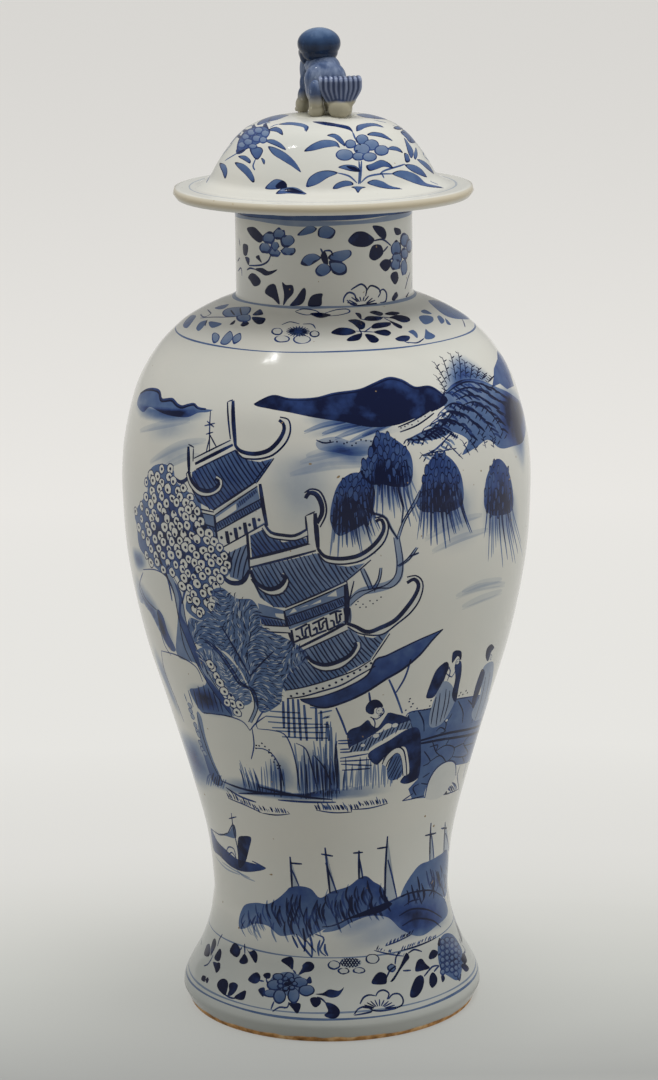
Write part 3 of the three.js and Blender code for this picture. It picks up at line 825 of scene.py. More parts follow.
# White bands between two strokes: ridges, posts, ledges, then the curled eaves
TOWER_BANDS = (
    (((195, 464), (233, 444.5)), ((194, 458), (230.5, 440)), 1.1, 0.5),
    (((235.5, 446), (233, 401)), ((230.5, 439), (227.5, 402)), 1.4, 0.6),
    (((188.5, 446), (189, 472)), ((193.5, 448), (193, 462)), 1.3, 0.5),
    (((213, 510), (255, 482)), ((214, 515), (257.5, 486)), 0.7, 0.5),
    (((250, 560), (311, 544)), ((250, 566), (316, 550)), 1.0, 0.8),
    (((318, 547), (315, 512.5)), ((308, 543), (305.5, 515.5)), 1.5, 0.7),
    (((285, 607), (346, 581)), ((285, 611), (346.5, 585)), 0.6, 0.5),
    (((296, 647.5), (346.5, 624)), ((299, 652.5), (348, 629)), 0.9, 0.5),
    (((191, 507), (214, 512.5)), ((191, 511), (214.5, 516)), 0.5, 0.4),
    (((262, 625.5), (288, 627.5)), ((262, 630), (291, 632.5)), 0.5, 0.5),
    (((188.5, 471), (192, 481), (200, 489.5), (210, 491.5), (217.5, 486.5), (219, 481), (215, 479)),
     ((186.5, 474), (189.5, 485), (198, 494), (209, 496), (220, 490.5), (222.5, 481), (217, 475.5)), 1.3,
     0.5),
    (((235, 445), (240, 450.5), (250, 454), (260, 453), (270, 449), (279, 440.5), (284, 430), (283, 423),
      (279, 420)),
     ((236, 450), (242, 457), (250, 459.5), (261, 459), (273, 455), (283.5, 446), (289, 436), (290.5, 427),
      (288, 419.5), (280, 417)), 1.3, 0.6),
    (((264.5, 524.5), (271, 532.5), (283, 536), (295, 535.5), (307, 530)),
     ((262, 528.5), (269, 537), (282.5, 541), (296, 540.5), (307.5, 536)), 1.0, 0.5),
    (((305.5, 498.5), (309, 493.5), (316, 495), (321, 503), (322, 512.5), (317, 523)),
     ((304.5, 493.5), (311, 489.5), (320, 492), (325.5, 503), (326, 515), (320, 527)), 1.5, 0.6),
    (((317.5, 547.5), (324, 555), (335, 559.5), (347.5, 559.5), (360, 555), (372.5, 546), (381, 536),
      (384, 526), (381, 520), (375.5, 521.5)),
     ((318, 552), (325, 560.5), (336, 564.5), (348, 564.5), (362, 560), (375.5, 550.5), (385, 539.5),
      (388.5, 527), (384, 517), (375, 517.5)), 1.3, 0.6),
    (((250.5, 571), (256, 582), (267.5, 588), (279, 586), (285.5, 579), (281, 574)),
     ((251, 578), (258.5, 589), (270, 594.5), (283, 591.5), (289, 580), (283.5, 571)), 1.4, 0.6),
    (((347, 622), (355, 627.5), (367.5, 630.5), (380, 627.5), (395, 619), (407.5, 607), (416, 595),
      (418.5, 585), (414, 580), (407, 582.5)),
     ((347.5, 627), (357, 633.5), (369, 636.5), (383, 633), (398, 623.5), (411, 611), (420, 598), (423, 585),
      (417, 576.5), (407, 578)), 1.5, 0.6),
    (((307, 655), (313, 661), (325, 663.5), (338, 661), (350, 654), (356, 646), (355, 641.5)),
     ((308, 661), (315, 667), (326, 669.5), (341, 667), (353.5, 659), (360.5, 649), (360, 643)), 1.4, 0.6),
)
TOWER_LINES = (
    ((196, 469.5), (237, 449.5)), ((274, 458), (257, 482)), ((269.5, 461), (254, 482)),
    ((371, 558.5), (346, 582)), ((390, 632), (372, 659)), ((216, 523.5), (262, 498)),
    ((216, 531.5), (263, 506)), ((218, 550), (265, 523)), ((286, 617), (345, 596)), ((287, 628), (345, 606)),
    ((190, 520), (216, 527)), ((193, 535), (217, 537)), ((227.5, 402), (233, 400)),
    ((305.5, 515.5), (315, 512)), ((248, 533), (250, 568)), ((349, 603), (354, 580)),
    ((259, 615), (285, 620)), ((186, 474), (190, 470)), ((194, 447.5), (188.5, 444)),
)
TOWER_POSTS = (
    (((214, 512), (216, 531), (218.5, 550)), 0.8), (((260, 484), (263.5, 508), (267, 526)), 1.3),
    (((284, 610), (288, 629), (295, 649)), 0.8), (((345.5, 581), (347, 601), (346.5, 622)), 1.6),
    (((247, 534), (248.5, 551), (250, 571)), 1.0),
    (((190, 472), (186.5, 479), (180, 481.5), (173, 476)), 1.2),
    (((249.5, 570), (243, 581), (233, 584.5), (225.5, 580), (222, 574)), 1.5),
)
WINDOW_BARS = ((227, 536), (235.5, 531.5), (245, 527), (254, 522))
WINDOW_DOTS = ((221.5, 537.5), (231, 533.5), (240, 529), (249.5, 524.5), (259, 519.5))
# One turn of the key-fret, in shares of its width and height
FRET = (
    ((0.0, 0.0), (0.0, 0.95), (0.42, 0.95), (0.42, 0.5), (0.2, 0.5)),
    ((0.22, 0.0), (0.62, 0.0), (0.62, 0.72), (0.82, 0.72), (0.82, 0.3), (1.0, 0.3)),
    ((0.62, 0.0), (1.0, 0.0)), ((0.42, 0.95), (1.0, 0.95)),
)
FRET_START, FRET_END, FRET_DROP = (291.5, 631), (343, 609.5), 13.5
EAVE_TOP = ((286, 691.5), (300, 688), (320, 683), (338, 676.5), (355, 669), (371, 659.5))
EAVE_FOOT = ((287, 699), (303, 697), (322, 691.5), (341, 684), (358, 676), (375.5, 664.5))
EAVE_DOTS = (
    (291, 695), (297, 693.5), (303.5, 692.5), (310, 691), (316.5, 689.5), (323, 687.5), (329.5, 685.5),
    (336, 683), (342, 680.5), (348, 677.5), (354, 674.5), (360, 671), (366, 667), (371, 663.5),
)
ROOF_ROD = (
    ((210.5, 411), (209.5, 452)), ((204.5, 425.5), (215, 423)), ((206, 434), (213, 432.5)),
    ((210.5, 435), (206, 453)), ((210.5, 436), (216.5, 447.5)), ((207, 421), (214, 427)),
)


def paint_tower(pen):
    for body, lean, ink in ROOFS[:4]:
        pen.patch(body, ink, 0.06)
        hatch(pen, body, lean, 4.9, 0.5, 0.86, 0.04)
    for body in STOREYS:
        pen.patch(body, 0.42)
    for body in STOREY_HATCHES:
        pen.patch(body, 0.2)
        hatch(pen, body, 0.5, 2.8, 0.4, 0.8)
    for body in WHITE_PANELS:
        pen.patch(body, 0.03, 0, 0)
    body, lean, ink = ROOFS[4]
    pen.patch(body, ink, 0.06)
    hatch(pen, body, lean, 4.9, 0.5, 0.86, 0.04)
    for (x, y) in WINDOW_BARS:
        pen.line([(x - 0.5, y - 4), (x + 1.5, y + 8)], 1.3, DARK, 0.8)
    dots(pen, WINDOW_DOTS, 1.5)
    paint_fret(pen)
    pen.lines(TOWER_LINES, 0.5, DARK, 0.6)
    for post, width in TOWER_POSTS:
        pen.line(post, width, DARK, 0.6)
    for first, second, first_width, second_width in TOWER_BANDS:
        banded(pen, first, second, first_width, second_width)
    banded(pen, EAVE_TOP, EAVE_FOOT, 0.5, 0.6)
    dots(pen, EAVE_DOTS, 1.2)
    pen.lines(ROOF_ROD, 0.5, 0.85, 0.5)


def paint_fret(pen):
    """The key-fret railing, drawn in three turns along its slope."""
    start, end = np.array(FRET_START), np.array(FRET_END)
    step = (end - start) / 3
    for turn in range(3):
        for stroke in FRET:
            run = [
                start + step * (turn + along * 0.92) + (2.2 * down, FRET_DROP * down)
                for along, down in stroke
            ]
            for a, b in zip(run, run[1:]):
                pen.line([tuple(a), tuple(b)], 0.7, DARK, 0.9)


# Far hills, mound, willows and the trees left of the tower

FAR_HILL = (
    (254, 404), (272, 396), (290, 399.5), (315, 399), (335, 394), (360, 390), (375, 384), (389, 378),
    (402, 381), (415, 387.5), (430, 387), (442, 394), (447, 401), (436, 410), (415, 418), (395, 425),
    (370, 427), (345, 422.5), (315, 417.5), (290, 412.5), (270, 409),
)
NEAR_HILL = (
    (335, 399), (352, 393), (368, 387), (388, 379), (402, 382), (412, 390), (410, 404), (398, 415),
    (380, 421), (362, 418), (345, 414),
)
CLOUD_HILL = (
    (137, 404), (140, 394), (146, 390), (153, 389), (159, 392), (161, 400), (166, 400), (172, 400),
    (177, 405), (182, 407), (188, 405.5), (194, 404), (198, 408), (206, 409), (213.5, 410), (207, 412),
    (198, 413), (188, 417), (175, 417), (163, 413), (150, 407), (143, 412),
)
# Pale washes of sky haze. The first, over the middle of the belly between the tower and the willows, is
# painted shade that darkens the glaze there.
PALE_SKY_AND_BELLY_SHADE = (
    ((258, 455), (300, 436), (336, 446), (346, 490), (332, 536), (292, 548), (264, 510)),
    ((300, 434), (325, 424), (350, 424), (380, 426), (360, 433), (330, 438), (308, 440)),
    ((330, 446), (360, 430), (395, 424), (410, 428), (380, 438), (350, 450)),
    ((275, 465), (300, 452), (350, 448), (390, 455), (385, 466), (330, 468), (290, 478)),
    ((145, 425), (165, 416), (195, 416), (205, 424), (190, 440), (160, 445), (146, 440)),
    ((150, 458), (180, 440), (205, 436), (200, 455), (165, 470), (152, 468)),
    ((430, 500), (450, 480), (478, 478), (482, 510), (478, 545), (450, 560), (430, 545)),
    ((136, 404), (165, 408), (205, 408), (214, 414), (195, 421), (160, 422), (140, 418)),
)
SKY_STREAKS = (
    ((300, 462), (340, 452), (392, 448)), ((290, 474), (330, 466), (372, 464)),
    ((306, 456), (330, 450), (350, 449)), ((425, 540), (455, 522), (482, 514)),
    ((432, 552), (460, 538), (488, 530)), ((462, 606), (482, 598), (502, 590)),
    ((462, 592), (482, 584), (502, 578)), ((456, 596), (480, 586), (505, 584)),
    ((150, 462), (178, 446), (206, 440)), ((160, 470), (184, 458), (200, 455)),
    ((140, 430), (165, 424), (190, 420)),
)
HILL_DRAGS = (
    ((304, 432), (325, 425), (347, 421)), ((322, 434), (344, 427), (366, 423)),
    ((335, 438), (355, 431), (378, 424)), ((350, 441), (372, 431), (394, 421)),
    ((362, 436), (384, 427), (404, 417)),
)
HILL_SKIRT = ((300, 414), (340, 414), (380, 416), (412, 408), (404, 424), (370, 434), (335, 432), (306, 426))
CLOUD_SKIRT = ((134, 402), (160, 406), (190, 408), (216, 410), (204, 421), (170, 424), (140, 418))
RIGHT_SLOPE = ((498, 380), (512, 384), (522, 400), (526, 440), (524, 476), (512, 452), (500, 430), (492, 400))
RIGHT_PEAK = ((497, 350), (503, 357), (509, 370), (514, 386), (507, 389), (500, 384), (492, 387), (494, 369))
FAR_SHORE = ((317, 441), (335, 437), (352, 441), (374, 440), (374, 453), (355, 456), (335, 452), (319, 449))
SHORE_DOTS = (
    (330, 441), (337, 442), (344, 444), (347, 442), (352, 445), (356, 443), (361, 440), (366, 441),
    (371, 441),
)
MOUND = (
    (446, 391), (455, 383), (467, 379), (482, 381), (497, 387), (512, 395), (524, 410), (524, 440),
    (512, 446), (500, 448), (488, 440), (476, 447), (462, 455), (468, 440), (452, 432), (446, 436),
    (430, 440), (405, 440), (420, 434), (437, 424), (450, 412), (440, 402),
)
MOUND_LINES = (
    ((446, 394), (456, 386), (468, 382), (484, 385), (500, 393), (514, 403), (524, 415)),
    ((452, 395), (462, 389), (474, 388), (488, 394), (502, 403), (515, 416)),
    ((456, 400), (468, 395), (480, 397), (492, 405), (504, 416), (512, 430)),
    ((462, 405), (474, 402), (484, 407), (495, 418), (503, 432)),
    ((440, 412), (452, 403), (466, 407), (478, 414), (488, 425), (496, 438)),
    ((432, 422), (446, 412), (458, 412), (470, 419), (480, 430)),
    ((424, 429), (440, 420), (452, 420), (464, 427), (472, 438)),
    ((410, 438), (428, 430), (442, 428), (454, 433)),
    ((406, 440), (420, 439), (433, 433), (447, 421), (456, 409)),
    ((422, 455), (434, 451), (444, 442), (452, 432)),
)
PATHS = ((((398, 427), (413, 421), (430, 411)), ((400, 432), (417, 425), (434, 413))),)
PATH_DOTS = ((401, 428), (405, 427), (408, 424), (412, 425), (414, 421), (418, 421), (421, 417), (425, 416))
MOUND_TWIGS = (
    ((447, 384), (434, 362)), ((450, 382), (442, 357)), ((456, 380), (450, 353)), ((461, 379), (458, 352)),
    ((466, 378), (464, 360)), ((470, 379), (472, 364)), ((476, 379), (479, 368)), ((482, 380), (485, 374)),
    ((488, 383), (492, 377)), ((446, 391), (436, 376)), ((441, 398), (445, 390)),
)
LOW_TWIGS = (
    ((450, 442), (437, 432)), ((456, 448), (430, 453)), ((463, 459), (450, 446)), ((470, 455), (462, 440)),
    ((478, 452), (470, 440)), ((486, 448), (482, 434)), ((494, 448), (492, 436)), ((446, 454), (421, 455)),
)
# Willow: trunk and boughs with their widths in mm, crowns, and where their strands hang
WILLOW_BOUGHS = (
    (((348, 604), (360, 594), (375, 589), (389, 586), (398, 577), (400, 564), (398.5, 550), (396.5, 538)),
     2.6),
    (((398, 566), (408, 559), (417, 547)), 1.2), (((409, 558), (419, 554)), 0.8),
    (((398, 540), (391, 529), (385, 518), (373, 512.5), (364, 507)), 1.0),
    (((398, 538), (404, 521), (414, 504), (421, 491)), 1.1), (((401.5, 524), (403, 506), (398, 488)), 0.7),
    (((371, 590), (366, 578), (362, 568)), 1.8), (((373, 590), (379, 579), (381, 567)), 1.1),
    (((347, 608), (347, 622)), 2.8),
)
WILLOW_CROWNS = (
    ((330, 520), (334, 494), (342, 479), (354, 473), (366, 475), (374, 487), (375, 503), (369, 520),
     (352, 530), (338, 535)),
    ((360, 470), (369, 454), (374, 437), (382, 432), (396, 440), (409, 451), (413, 467), (410, 485),
     (396, 487), (382, 484), (370, 484)),
    ((417, 504), (423, 480), (430, 460), (441, 453), (454, 462), (462, 478), (463, 502), (452, 512),
     (435, 512), (424, 512)),
    ((484, 505), (486, 480), (493, 462), (500, 459), (508, 470), (513, 492), (512, 510), (500, 516),
     (490, 514)),
)
WILLOW_STRANDS = (
    ((334, 515), (370, 515), 40, 24), ((372, 480), (410, 478), 44, 22), ((420, 502), (461, 500), 42, 26),
    ((486, 505), (512, 508), 50, 19),
)
SHORE_MOSS = (
    (356, 605), (360, 607), (363, 603), (366, 606), (370, 602), (373, 604), (377, 600), (381, 598),
    (358, 601),
)
LEAF_CROWN = (
    (152, 467), (163, 464), (173, 470), (176, 481), (188, 492), (199, 499), (202, 510), (207, 526),
    (213, 534), (219, 545), (231, 556), (231, 572), (221, 583), (213, 592), (216, 603), (203, 620),
    (187, 611), (187, 600), (192, 588), (182, 592), (177, 576), (161, 573), (147, 558), (139, 545),
    (137, 526), (135, 513), (147, 493), (146, 481),
)
LEAF_BOUGHS = (
    ((172, 600), (168, 580), (160, 560), (154, 540), (152, 515)),
    ((166, 572), (174, 550), (176, 528), (168, 505)), ((174, 548), (186, 530), (190, 512)),
    ((182, 604), (188, 582), (200, 566), (206, 552)),
)
LEAF_TAIL = (
    (213, 669), (217, 677), (220, 684), (224, 691), (231, 697), (233, 705), (240, 705), (237, 713),
    (227, 702), (210, 663),
)
FOLIAGE = (
    (211, 591), (222, 588), (236, 597), (252, 601), (260, 612), (261, 624), (272, 632), (288, 640),
    (303, 648), (306, 658), (298, 668), (286, 678), (282, 692), (280, 704), (262, 712), (254, 700),
    (249, 686), (240, 670), (226, 652), (212, 650), (196, 645), (188, 628), (190, 618), (204, 620),
    (215, 604),
)
CYPRESS = (
    (196, 652), (208, 646), (222, 652), (238, 670), (249, 690), (252, 702), (244, 706), (230, 700),
    (216, 684), (206, 668),
)
TRUNKS = (
    (((166, 570), (173, 583), (179, 600), (183, 622), (192, 645), (204, 672), (222, 700), (236, 716)), 3.2),
    (((205, 640), (218, 652), (230, 668), (240, 682), (252, 690), (256, 706), (250, 722)), 1.6),
    (((222, 628), (236, 652), (250, 675)), 0.7), (((250, 675), (262, 662), (274, 652)), 0.6),
)


def willow_crown(pen, crown, strands, seed):
    """Looped sprays over a soft wash, with strands that start on them and hang below."""
    dice = random.Random(seed)
    low, high, reach, count = strands
    middle = sum(x for x, _ in crown) / len(crown)
    pen.wash(crown, 0.6, -0.1)
    soft_wash(pen, [(middle + (x - middle) * 1.16, y) for x, y in crown], 0.25)
    veil = [(low[0] - 4, low[1] - 16), (high[0] + 5, high[1] - 16), (high[0] + 6, high[1] + reach * 0.7),
            (low[0] - 1, low[1] + reach * 0.7)]
    soft_wash(pen, veil, 0.42, -0.2)
    for spot in scattered(crown, 8.6, dice, 0.2):
        tall = dice.uniform(2.0, 2.9)
        outlined(pen, spot, blob(tall, 9, 0.45), dice.uniform(-20, 20) - 8, 0.6, 0.97, 0.68)
    for i in range(count):
        share = (i + dice.uniform(0, 1)) / count
        x, y = low[0] + (high[0] - low[0]) * share, low[1] + (high[1] - low[1]) * share - dice.uniform(2, 24)
        drop, sway = reach * dice.uniform(0.7, 1.35), (share - 0.45) * 16 + 3
        pen.line([(x, y), (x + sway * 0.3, y + drop * 0.5), (x + sway, y + drop)], dice.uniform(0.4, 0.75),
                 dice.uniform(0.25, 0.6), 0.12)


def bark(pen, boughs):
    """Boughs washed in blue between darker, broken edges."""
    for points, width in boughs:
        pen.line(points, width, 0.3, 0.7)
        if width > 1:
            middle, aside = np.array(points, float), (width * 1.1, 0.3)
            pen.lines([(middle + aside).tolist(), (middle - aside).tolist()], 0.4, 0.75, 0.4)
        else:
            pen.line(points, width * 0.6, 0.8, 0.4)


def streaks(pen, runs, width, ink):
    """Broad strokes of a nearly dry brush."""
    for points in runs:
        pen.line(points, width, ink, 0.1)
        pen.line([(x, y + width) for x, y in points], width * 0.4, ink * 0.8, 0.1)


def paint_hills(pen):
    # Pale sky washes, the first of them painted shade on the middle of the belly
    for points in PALE_SKY_AND_BELLY_SHADE:
        soft_wash(pen, points, 0.13)
    streaks(pen, SKY_STREAKS, 2.4, 0.05)
    streaks(pen, HILL_DRAGS, 1.5, 0.2)
    soft_wash(pen, HILL_SKIRT, 0.55)
    pen.wash(FAR_HILL, 0.9, 0.04)
    soft_wash(pen, NEAR_HILL, 0.2)
    pen.line(FAR_HILL[:14], 1.0, 0.85, 0.2)
    soft_wash(pen, CLOUD_SKIRT, 0.55)
    pen.wash(CLOUD_HILL, 0.5, -0.1)
    pen.line(CLOUD_HILL[1:14], 1.2, 0.8, 0.3)
    pen.wash(FAR_SHORE, 0.2, 0, 1)
    soft_wash(pen, [(x, y * 1.6 - 262) for x, y in FAR_SHORE], 0.5)
    dots(pen, SHORE_DOTS, 0.8)
    pen.line([(316, 440), (324, 443), (334, 442)], 0.5, 0.8)


def paint_mound(pen):
    dice = random.Random(31)
    pen.wash(MOUND, 0.5, 0.08)
    for points in MOUND_LINES:
        for (x1, y1), (x2, y2) in zip(points, points[1:]):
            for share in (0.0, 0.35, 0.7):
                x, y = x1 + (x2 - x1) * share, y1 + (y2 - y1) * share + dice.uniform(-1.5, 1.5)
                bent = (x + 4, y + 1.5 + dice.uniform(-1, 2))
                pen.line([(x, y), bent, (x + 8, y + 5)], 0.8, dice.uniform(0.3, 0.5), 0.3)
    pen.lines(MOUND_LINES, 0.6, 0.7, 0.3)
    for points in MOUND_LINES[3:]:
        for x, y in points:
            pen.line([(x, y), (x - 2.5, y + 4.5)], 0.5, 0.85, 0.4)
            pen.line([(x + 4, y + 2), (x + 1.5, y + 6.5)], 0.5, 0.85, 0.4)
    for first, second in PATHS:
        banded(pen, first, second, 0.5, 0.5)
    dots(pen, PATH_DOTS, 0.7)
    soft_wash(pen, ((438, 392), (443, 366), (456, 352), (480, 364), (496, 382), (470, 384), (452, 392)), 0.75)
    for foot, top in MOUND_TWIGS:
        twig(pen, foot, top, 7, 3.2, 0.97)
    for foot, top in LOW_TWIGS:
        twig(pen, foot, top, 5, 3.0)
    soft_wash(pen, RIGHT_SLOPE, 0.8)
    pen.patch(RIGHT_PEAK, 0.62)


def paint_willows(pen):
    bark(pen, WILLOW_BOUGHS)
    for seed, (crown, strands) in enumerate(zip(WILLOW_CROWNS, WILLOW_STRANDS)):
        willow_crown(pen, crown, strands, seed + 5)
    dots(pen, SHORE_MOSS, 0.7)


def paint_grove(pen):
    """The round-leaved tree, the close foliage in front of the tower, and their trunks."""
    dice = random.Random(4)
    bark(pen, TRUNKS[:1])
    pen.wash(LEAF_CROWN, 0.5)
    soft_wash(pen, LEAF_CROWN, 0.5)
    pen.lines(LEAF_BOUGHS, 1.1, 0.7, 0.3)
    dotted_leaves(pen, LEAF_CROWN, 8.6, 4.9, 3)
    pen.wash(FOLIAGE, 0.5, 0, 0.3)
    feathers(pen, FOLIAGE, 3.7, 2.9, 30, 8)
    pen.wash(CYPRESS, 0.46, 0, 0.2)
    feathers(pen, CYPRESS, 3.7, 2.7, -20, 9, ((0.06, 0.0), (0.85, 1.0), (0.06, 0.0)))
    bark(pen, TRUNKS[1:])
    for spot in LEAF_TAIL:
        round_leaf(pen, spot, 4.9, dice)


# Awning, terrace, scholars, bridge, river bank, boats and island

AWNING = (
    (300, 700), (320, 696.5), (345, 687), (367, 675), (375.5, 661), (386, 655.5), (402, 649.5), (420, 640.5),
    (443, 629.5), (432, 641), (420, 654.5), (403, 668), (385, 681), (365, 693), (345, 703), (325, 708),
    (310, 706),
)
AWNING_POLES = (
    ((389, 678), (396, 695), (402.5, 713)), ((411, 658), (405, 677), (396, 693)), ((369, 692), (371, 705)),
    ((336, 707), (342, 720), (347, 734)),
)
BANK_WASH = (
    (174, 582), (182, 595), (181, 612), (187, 625), (195, 645), (203, 672), (213, 683), (227, 702),
    (232, 717), (216, 714), (202, 713), (190, 692), (197, 687), (206, 682), (197, 665), (177, 654),
    (177, 625), (179, 600),
)
CLIFF_WEDGE = ((157, 609), (163, 616), (168, 632), (176, 650), (171, 651), (163, 637))
CLIFF_LINES = (
    ((143, 571), (155, 571), (166, 577), (173, 590), (177, 609), (180, 624)),
    ((140, 585), (146, 600), (157, 610)), ((161, 650), (177, 656), (195, 665), (203, 683)),
    ((161, 650), (165, 672), (174, 695), (184, 722)), ((197, 714), (204, 740), (213, 765), (222, 781)),
    ((203, 713), (225, 715), (242, 721), (250, 731)), ((252, 728), (254, 745), (251, 758)),
    ((143, 572), (140, 590), (148, 606)), ((157, 611), (163, 640), (171, 655)),
    ((180, 625), (184, 645), (192, 662)),
)
CLIFF_SHADES = (
    (((132, 546), (144, 552), (148, 566), (140, 574), (134, 564)), 0.7),
    (((134, 572), (143, 582), (156, 602), (172, 628), (180, 652), (170, 652), (158, 628), (146, 608),
      (136, 596)), 0.75),
    (((152, 640), (163, 662), (174, 694), (184, 722), (178, 716), (164, 682), (154, 656)), 0.5),
    (((178, 728), (196, 733), (208, 752), (224, 786), (198, 790), (188, 768)), 0.75),
    (((186, 684), (208, 684), (226, 700), (232, 718), (206, 716), (192, 702)), 0.5),
    (((262, 772), (276, 750), (292, 762), (300, 790), (280, 798)), 0.35),
)
CLIFF_BAND = ((197, 714), (201, 716), (206, 738), (214, 762), (223, 783), (214, 784), (207, 766), (201, 744))
BANK_TICKS = (
    ((188, 690), (193, 706)), ((193, 688), (198, 708)), ((198, 686), (203, 709)), ((203, 684), (209, 710)),
    ((208, 688), (214, 711)), ((213, 692), (219, 712)), ((219, 698), (223, 713)), ((184, 693), (187, 702)),
    ((206, 660), (214, 682)), ((202, 655), (208, 676)), ((198, 650), (203, 668)),
)
BARK_LOOPS = (
    (190, 706), (191, 712), (193, 718), (195, 724), (197, 730), (199, 736), (200, 742), (202, 748),
    (205, 754),
)
ROCK_DOTS = (
    (256, 744), (259, 745), (262, 744), (265, 747), (269, 749), (271, 753), (272, 757), (275, 760),
    (277, 764), (274, 763), (280, 766), (269, 754), (278, 769), (256, 748),
)
ROCK_LINES = (
    ((255, 748), (265, 750), (274, 757), (280, 768), (284, 786)),
    ((268, 706), (262, 714), (256, 722), (258, 729)),
    ((258, 729), (272, 729), (284, 734), (291, 747), (296, 765), (300, 790)),
    ((250, 731), (256, 723), (266, 717)), ((296, 744), (306, 750), (312, 768), (318, 792)),
    ((314, 756), (324, 766), (332, 785)), ((337, 742), (335, 762), (338, 788)),
)
PLAID_UP = (
    ((283, 700), (284, 728)), ((288, 699), (289, 736)), ((293, 700), (295, 738)), ((298, 699), (301, 742)),
    ((304, 704), (307, 742)), ((316, 708), (317, 742)), ((321, 711), (322, 740)), ((327, 722), (329, 740)),
)
PLAID_ACROSS = (
    ((270, 712), (300, 713)), ((266, 717), (312, 718)), ((268, 722), (322, 723)), ((272, 727), (330, 728)),
    ((276, 732), (326, 733)), ((282, 737), (328, 738)), ((310, 707), (326, 708)), ((318, 712), (332, 711)),
)
GATE_ACROSS = (
    ((338, 740), (352, 739)), ((338, 744), (352, 743)), ((340, 748), (350, 748)), ((340, 752), (352, 751)),
    ((340, 757), (368, 755)), ((340, 761), (372, 760)), ((341, 765), (372, 764)), ((342, 769), (370, 769)),
)
BIRD_LEAVES = (((322, 720), 3.4, 10), ((323, 723), 3.0, -15), ((326, 718), 2.4, 40))
GROUND = (
    (205, 781), (230, 776), (262, 784), (300, 792), (345, 786), (392, 780), (396, 792), (360, 799),
    (300, 803), (250, 797), (222, 792),
)
GROUND_LINES = (
    ((221, 781), (245, 789), (272, 793)), ((238, 792), (270, 794), (300, 796)),
    ((258, 787), (300, 797), (332, 799)), ((278, 801), (310, 803), (336, 802)),
    ((226, 788), (240, 796), (256, 801)),
)
WATER_GRASS = (
    ((228, 797), (262, 812), 13, 7), ((262, 812), (290, 814), 9, 6), ((316, 810), (352, 811), 13, 7),
    ((352, 809), (388, 803), 10, 6), ((440, 796), (458, 790), 9, 9),
)
REED_BEDS = (
    ((243, 788), (262, 792), 11, 26, 0.7, -0.25), ((262, 792), (286, 795), 10, 30, 0.62, -0.05),
    ((296, 795), (340, 797), 22, 48, 0.66, -0.05), ((322, 797), (340, 797), 8, 70, 0.75, 0.0),
    ((341, 790), (394, 784), 22, 30, 0.62, 0.02), ((206, 784), (224, 790), 9, 12, 0.6, 0.3),
)
BRIDGE = (
    (404, 722), (410, 711), (430, 707.5), (457, 700), (487, 694), (489, 704), (481, 722), (476, 745),
    (470, 762), (457, 764), (448, 762.5), (438, 767.5), (430, 780), (426, 797), (412, 798), (408, 790),
    (418, 778), (420, 742),
)
BRIDGE_ARCH = (
    (425, 797), (429, 780), (437, 768), (447.5, 762.5), (455, 764), (456, 775), (452, 783), (440, 798),
)
BRIDGE_DECK = (((419, 741), (450, 734), (480, 725)), ((420, 745), (450, 738.5), (480, 730)))
BRIDGE_STONES = (
    ((424, 752), (430, 762), (423, 766)), ((430, 762), (440, 756), (446, 762)),
    ((432, 742), (436, 750), (440, 756)), ((436, 750), (446, 744), (454, 748), (452, 757), (446, 762)),
    ((446, 744), (450, 737)), ((454, 748), (464, 742)),
    ((452, 757), (462, 758), (468, 752), (464, 742), (472, 732)), ((430, 746), (438, 744), (436, 750)),
    ((462, 758), (464, 764)), ((423, 776), (430, 772)), ((421, 784), (428, 783)), ((464, 745), (474, 742)),
    ((460, 766), (457, 778), (459, 790)), ((466, 764), (463, 778)), ((416, 796), (413, 788), (419, 783)),
)
BRIDGE_RAIL = (
    ((408, 715), (412, 728), (415, 738)), ((418, 712), (423, 722), (424, 732)), ((430, 709), (434, 718)),
    ((458, 702), (463, 712), (462, 724)), ((468, 700), (474, 710), (472, 722)), ((478, 698), (483, 708)),
    ((404, 722), (410, 711), (430, 707.5), (457, 700), (487, 694)), ((419, 741), (420, 762), (418, 778)),
    ((402, 802), (412, 798), (424, 797)), ((402, 802), (413, 793)), ((440, 716), (446, 724), (444, 732)),
)
# Figures, as dark and middle patches and lines. Two stand on the bridge and one sits at the table.
COATS = (
    ((426, 697), (431, 682), (437, 668), (446, 662), (449, 666), (444, 680), (438, 690), (434, 696),
     (428, 698)),
    ((455, 664), (461, 660), (461.5, 672), (459, 686), (456, 701), (452, 695), (455, 680)),
    ((452, 656), (454, 651), (458, 650.5), (461.5, 653), (461, 660), (458, 657), (455, 659), (452, 663)),
    ((482, 669), (485, 672), (480, 690), (474, 706), (472, 702), (475, 688), (479, 676)),
    ((486, 656), (487, 648), (491, 645.5), (494, 649), (491, 653), (488, 662)),
    ((349, 748), (347, 735), (351, 729), (360, 726), (368, 719), (372, 724), (378, 726), (386, 716),
     (389, 712), (397, 715), (404, 716), (411, 720), (408, 728), (398, 728), (388, 724), (380, 731),
     (371, 735), (360, 742), (352, 746)),
    ((366, 713), (366, 705), (371, 700), (378, 700), (383, 704), (382, 707), (375, 708), (374, 713),
     (370, 715)),
)
ROBES = (
    ((435, 697), (443, 682), (452, 684), (455, 700), (448, 715), (440, 726), (431, 726), (429, 718)),
    ((483, 668), (492, 662), (494, 668), (490, 690), (484, 712), (475, 722), (472, 712), (480, 695)),
)
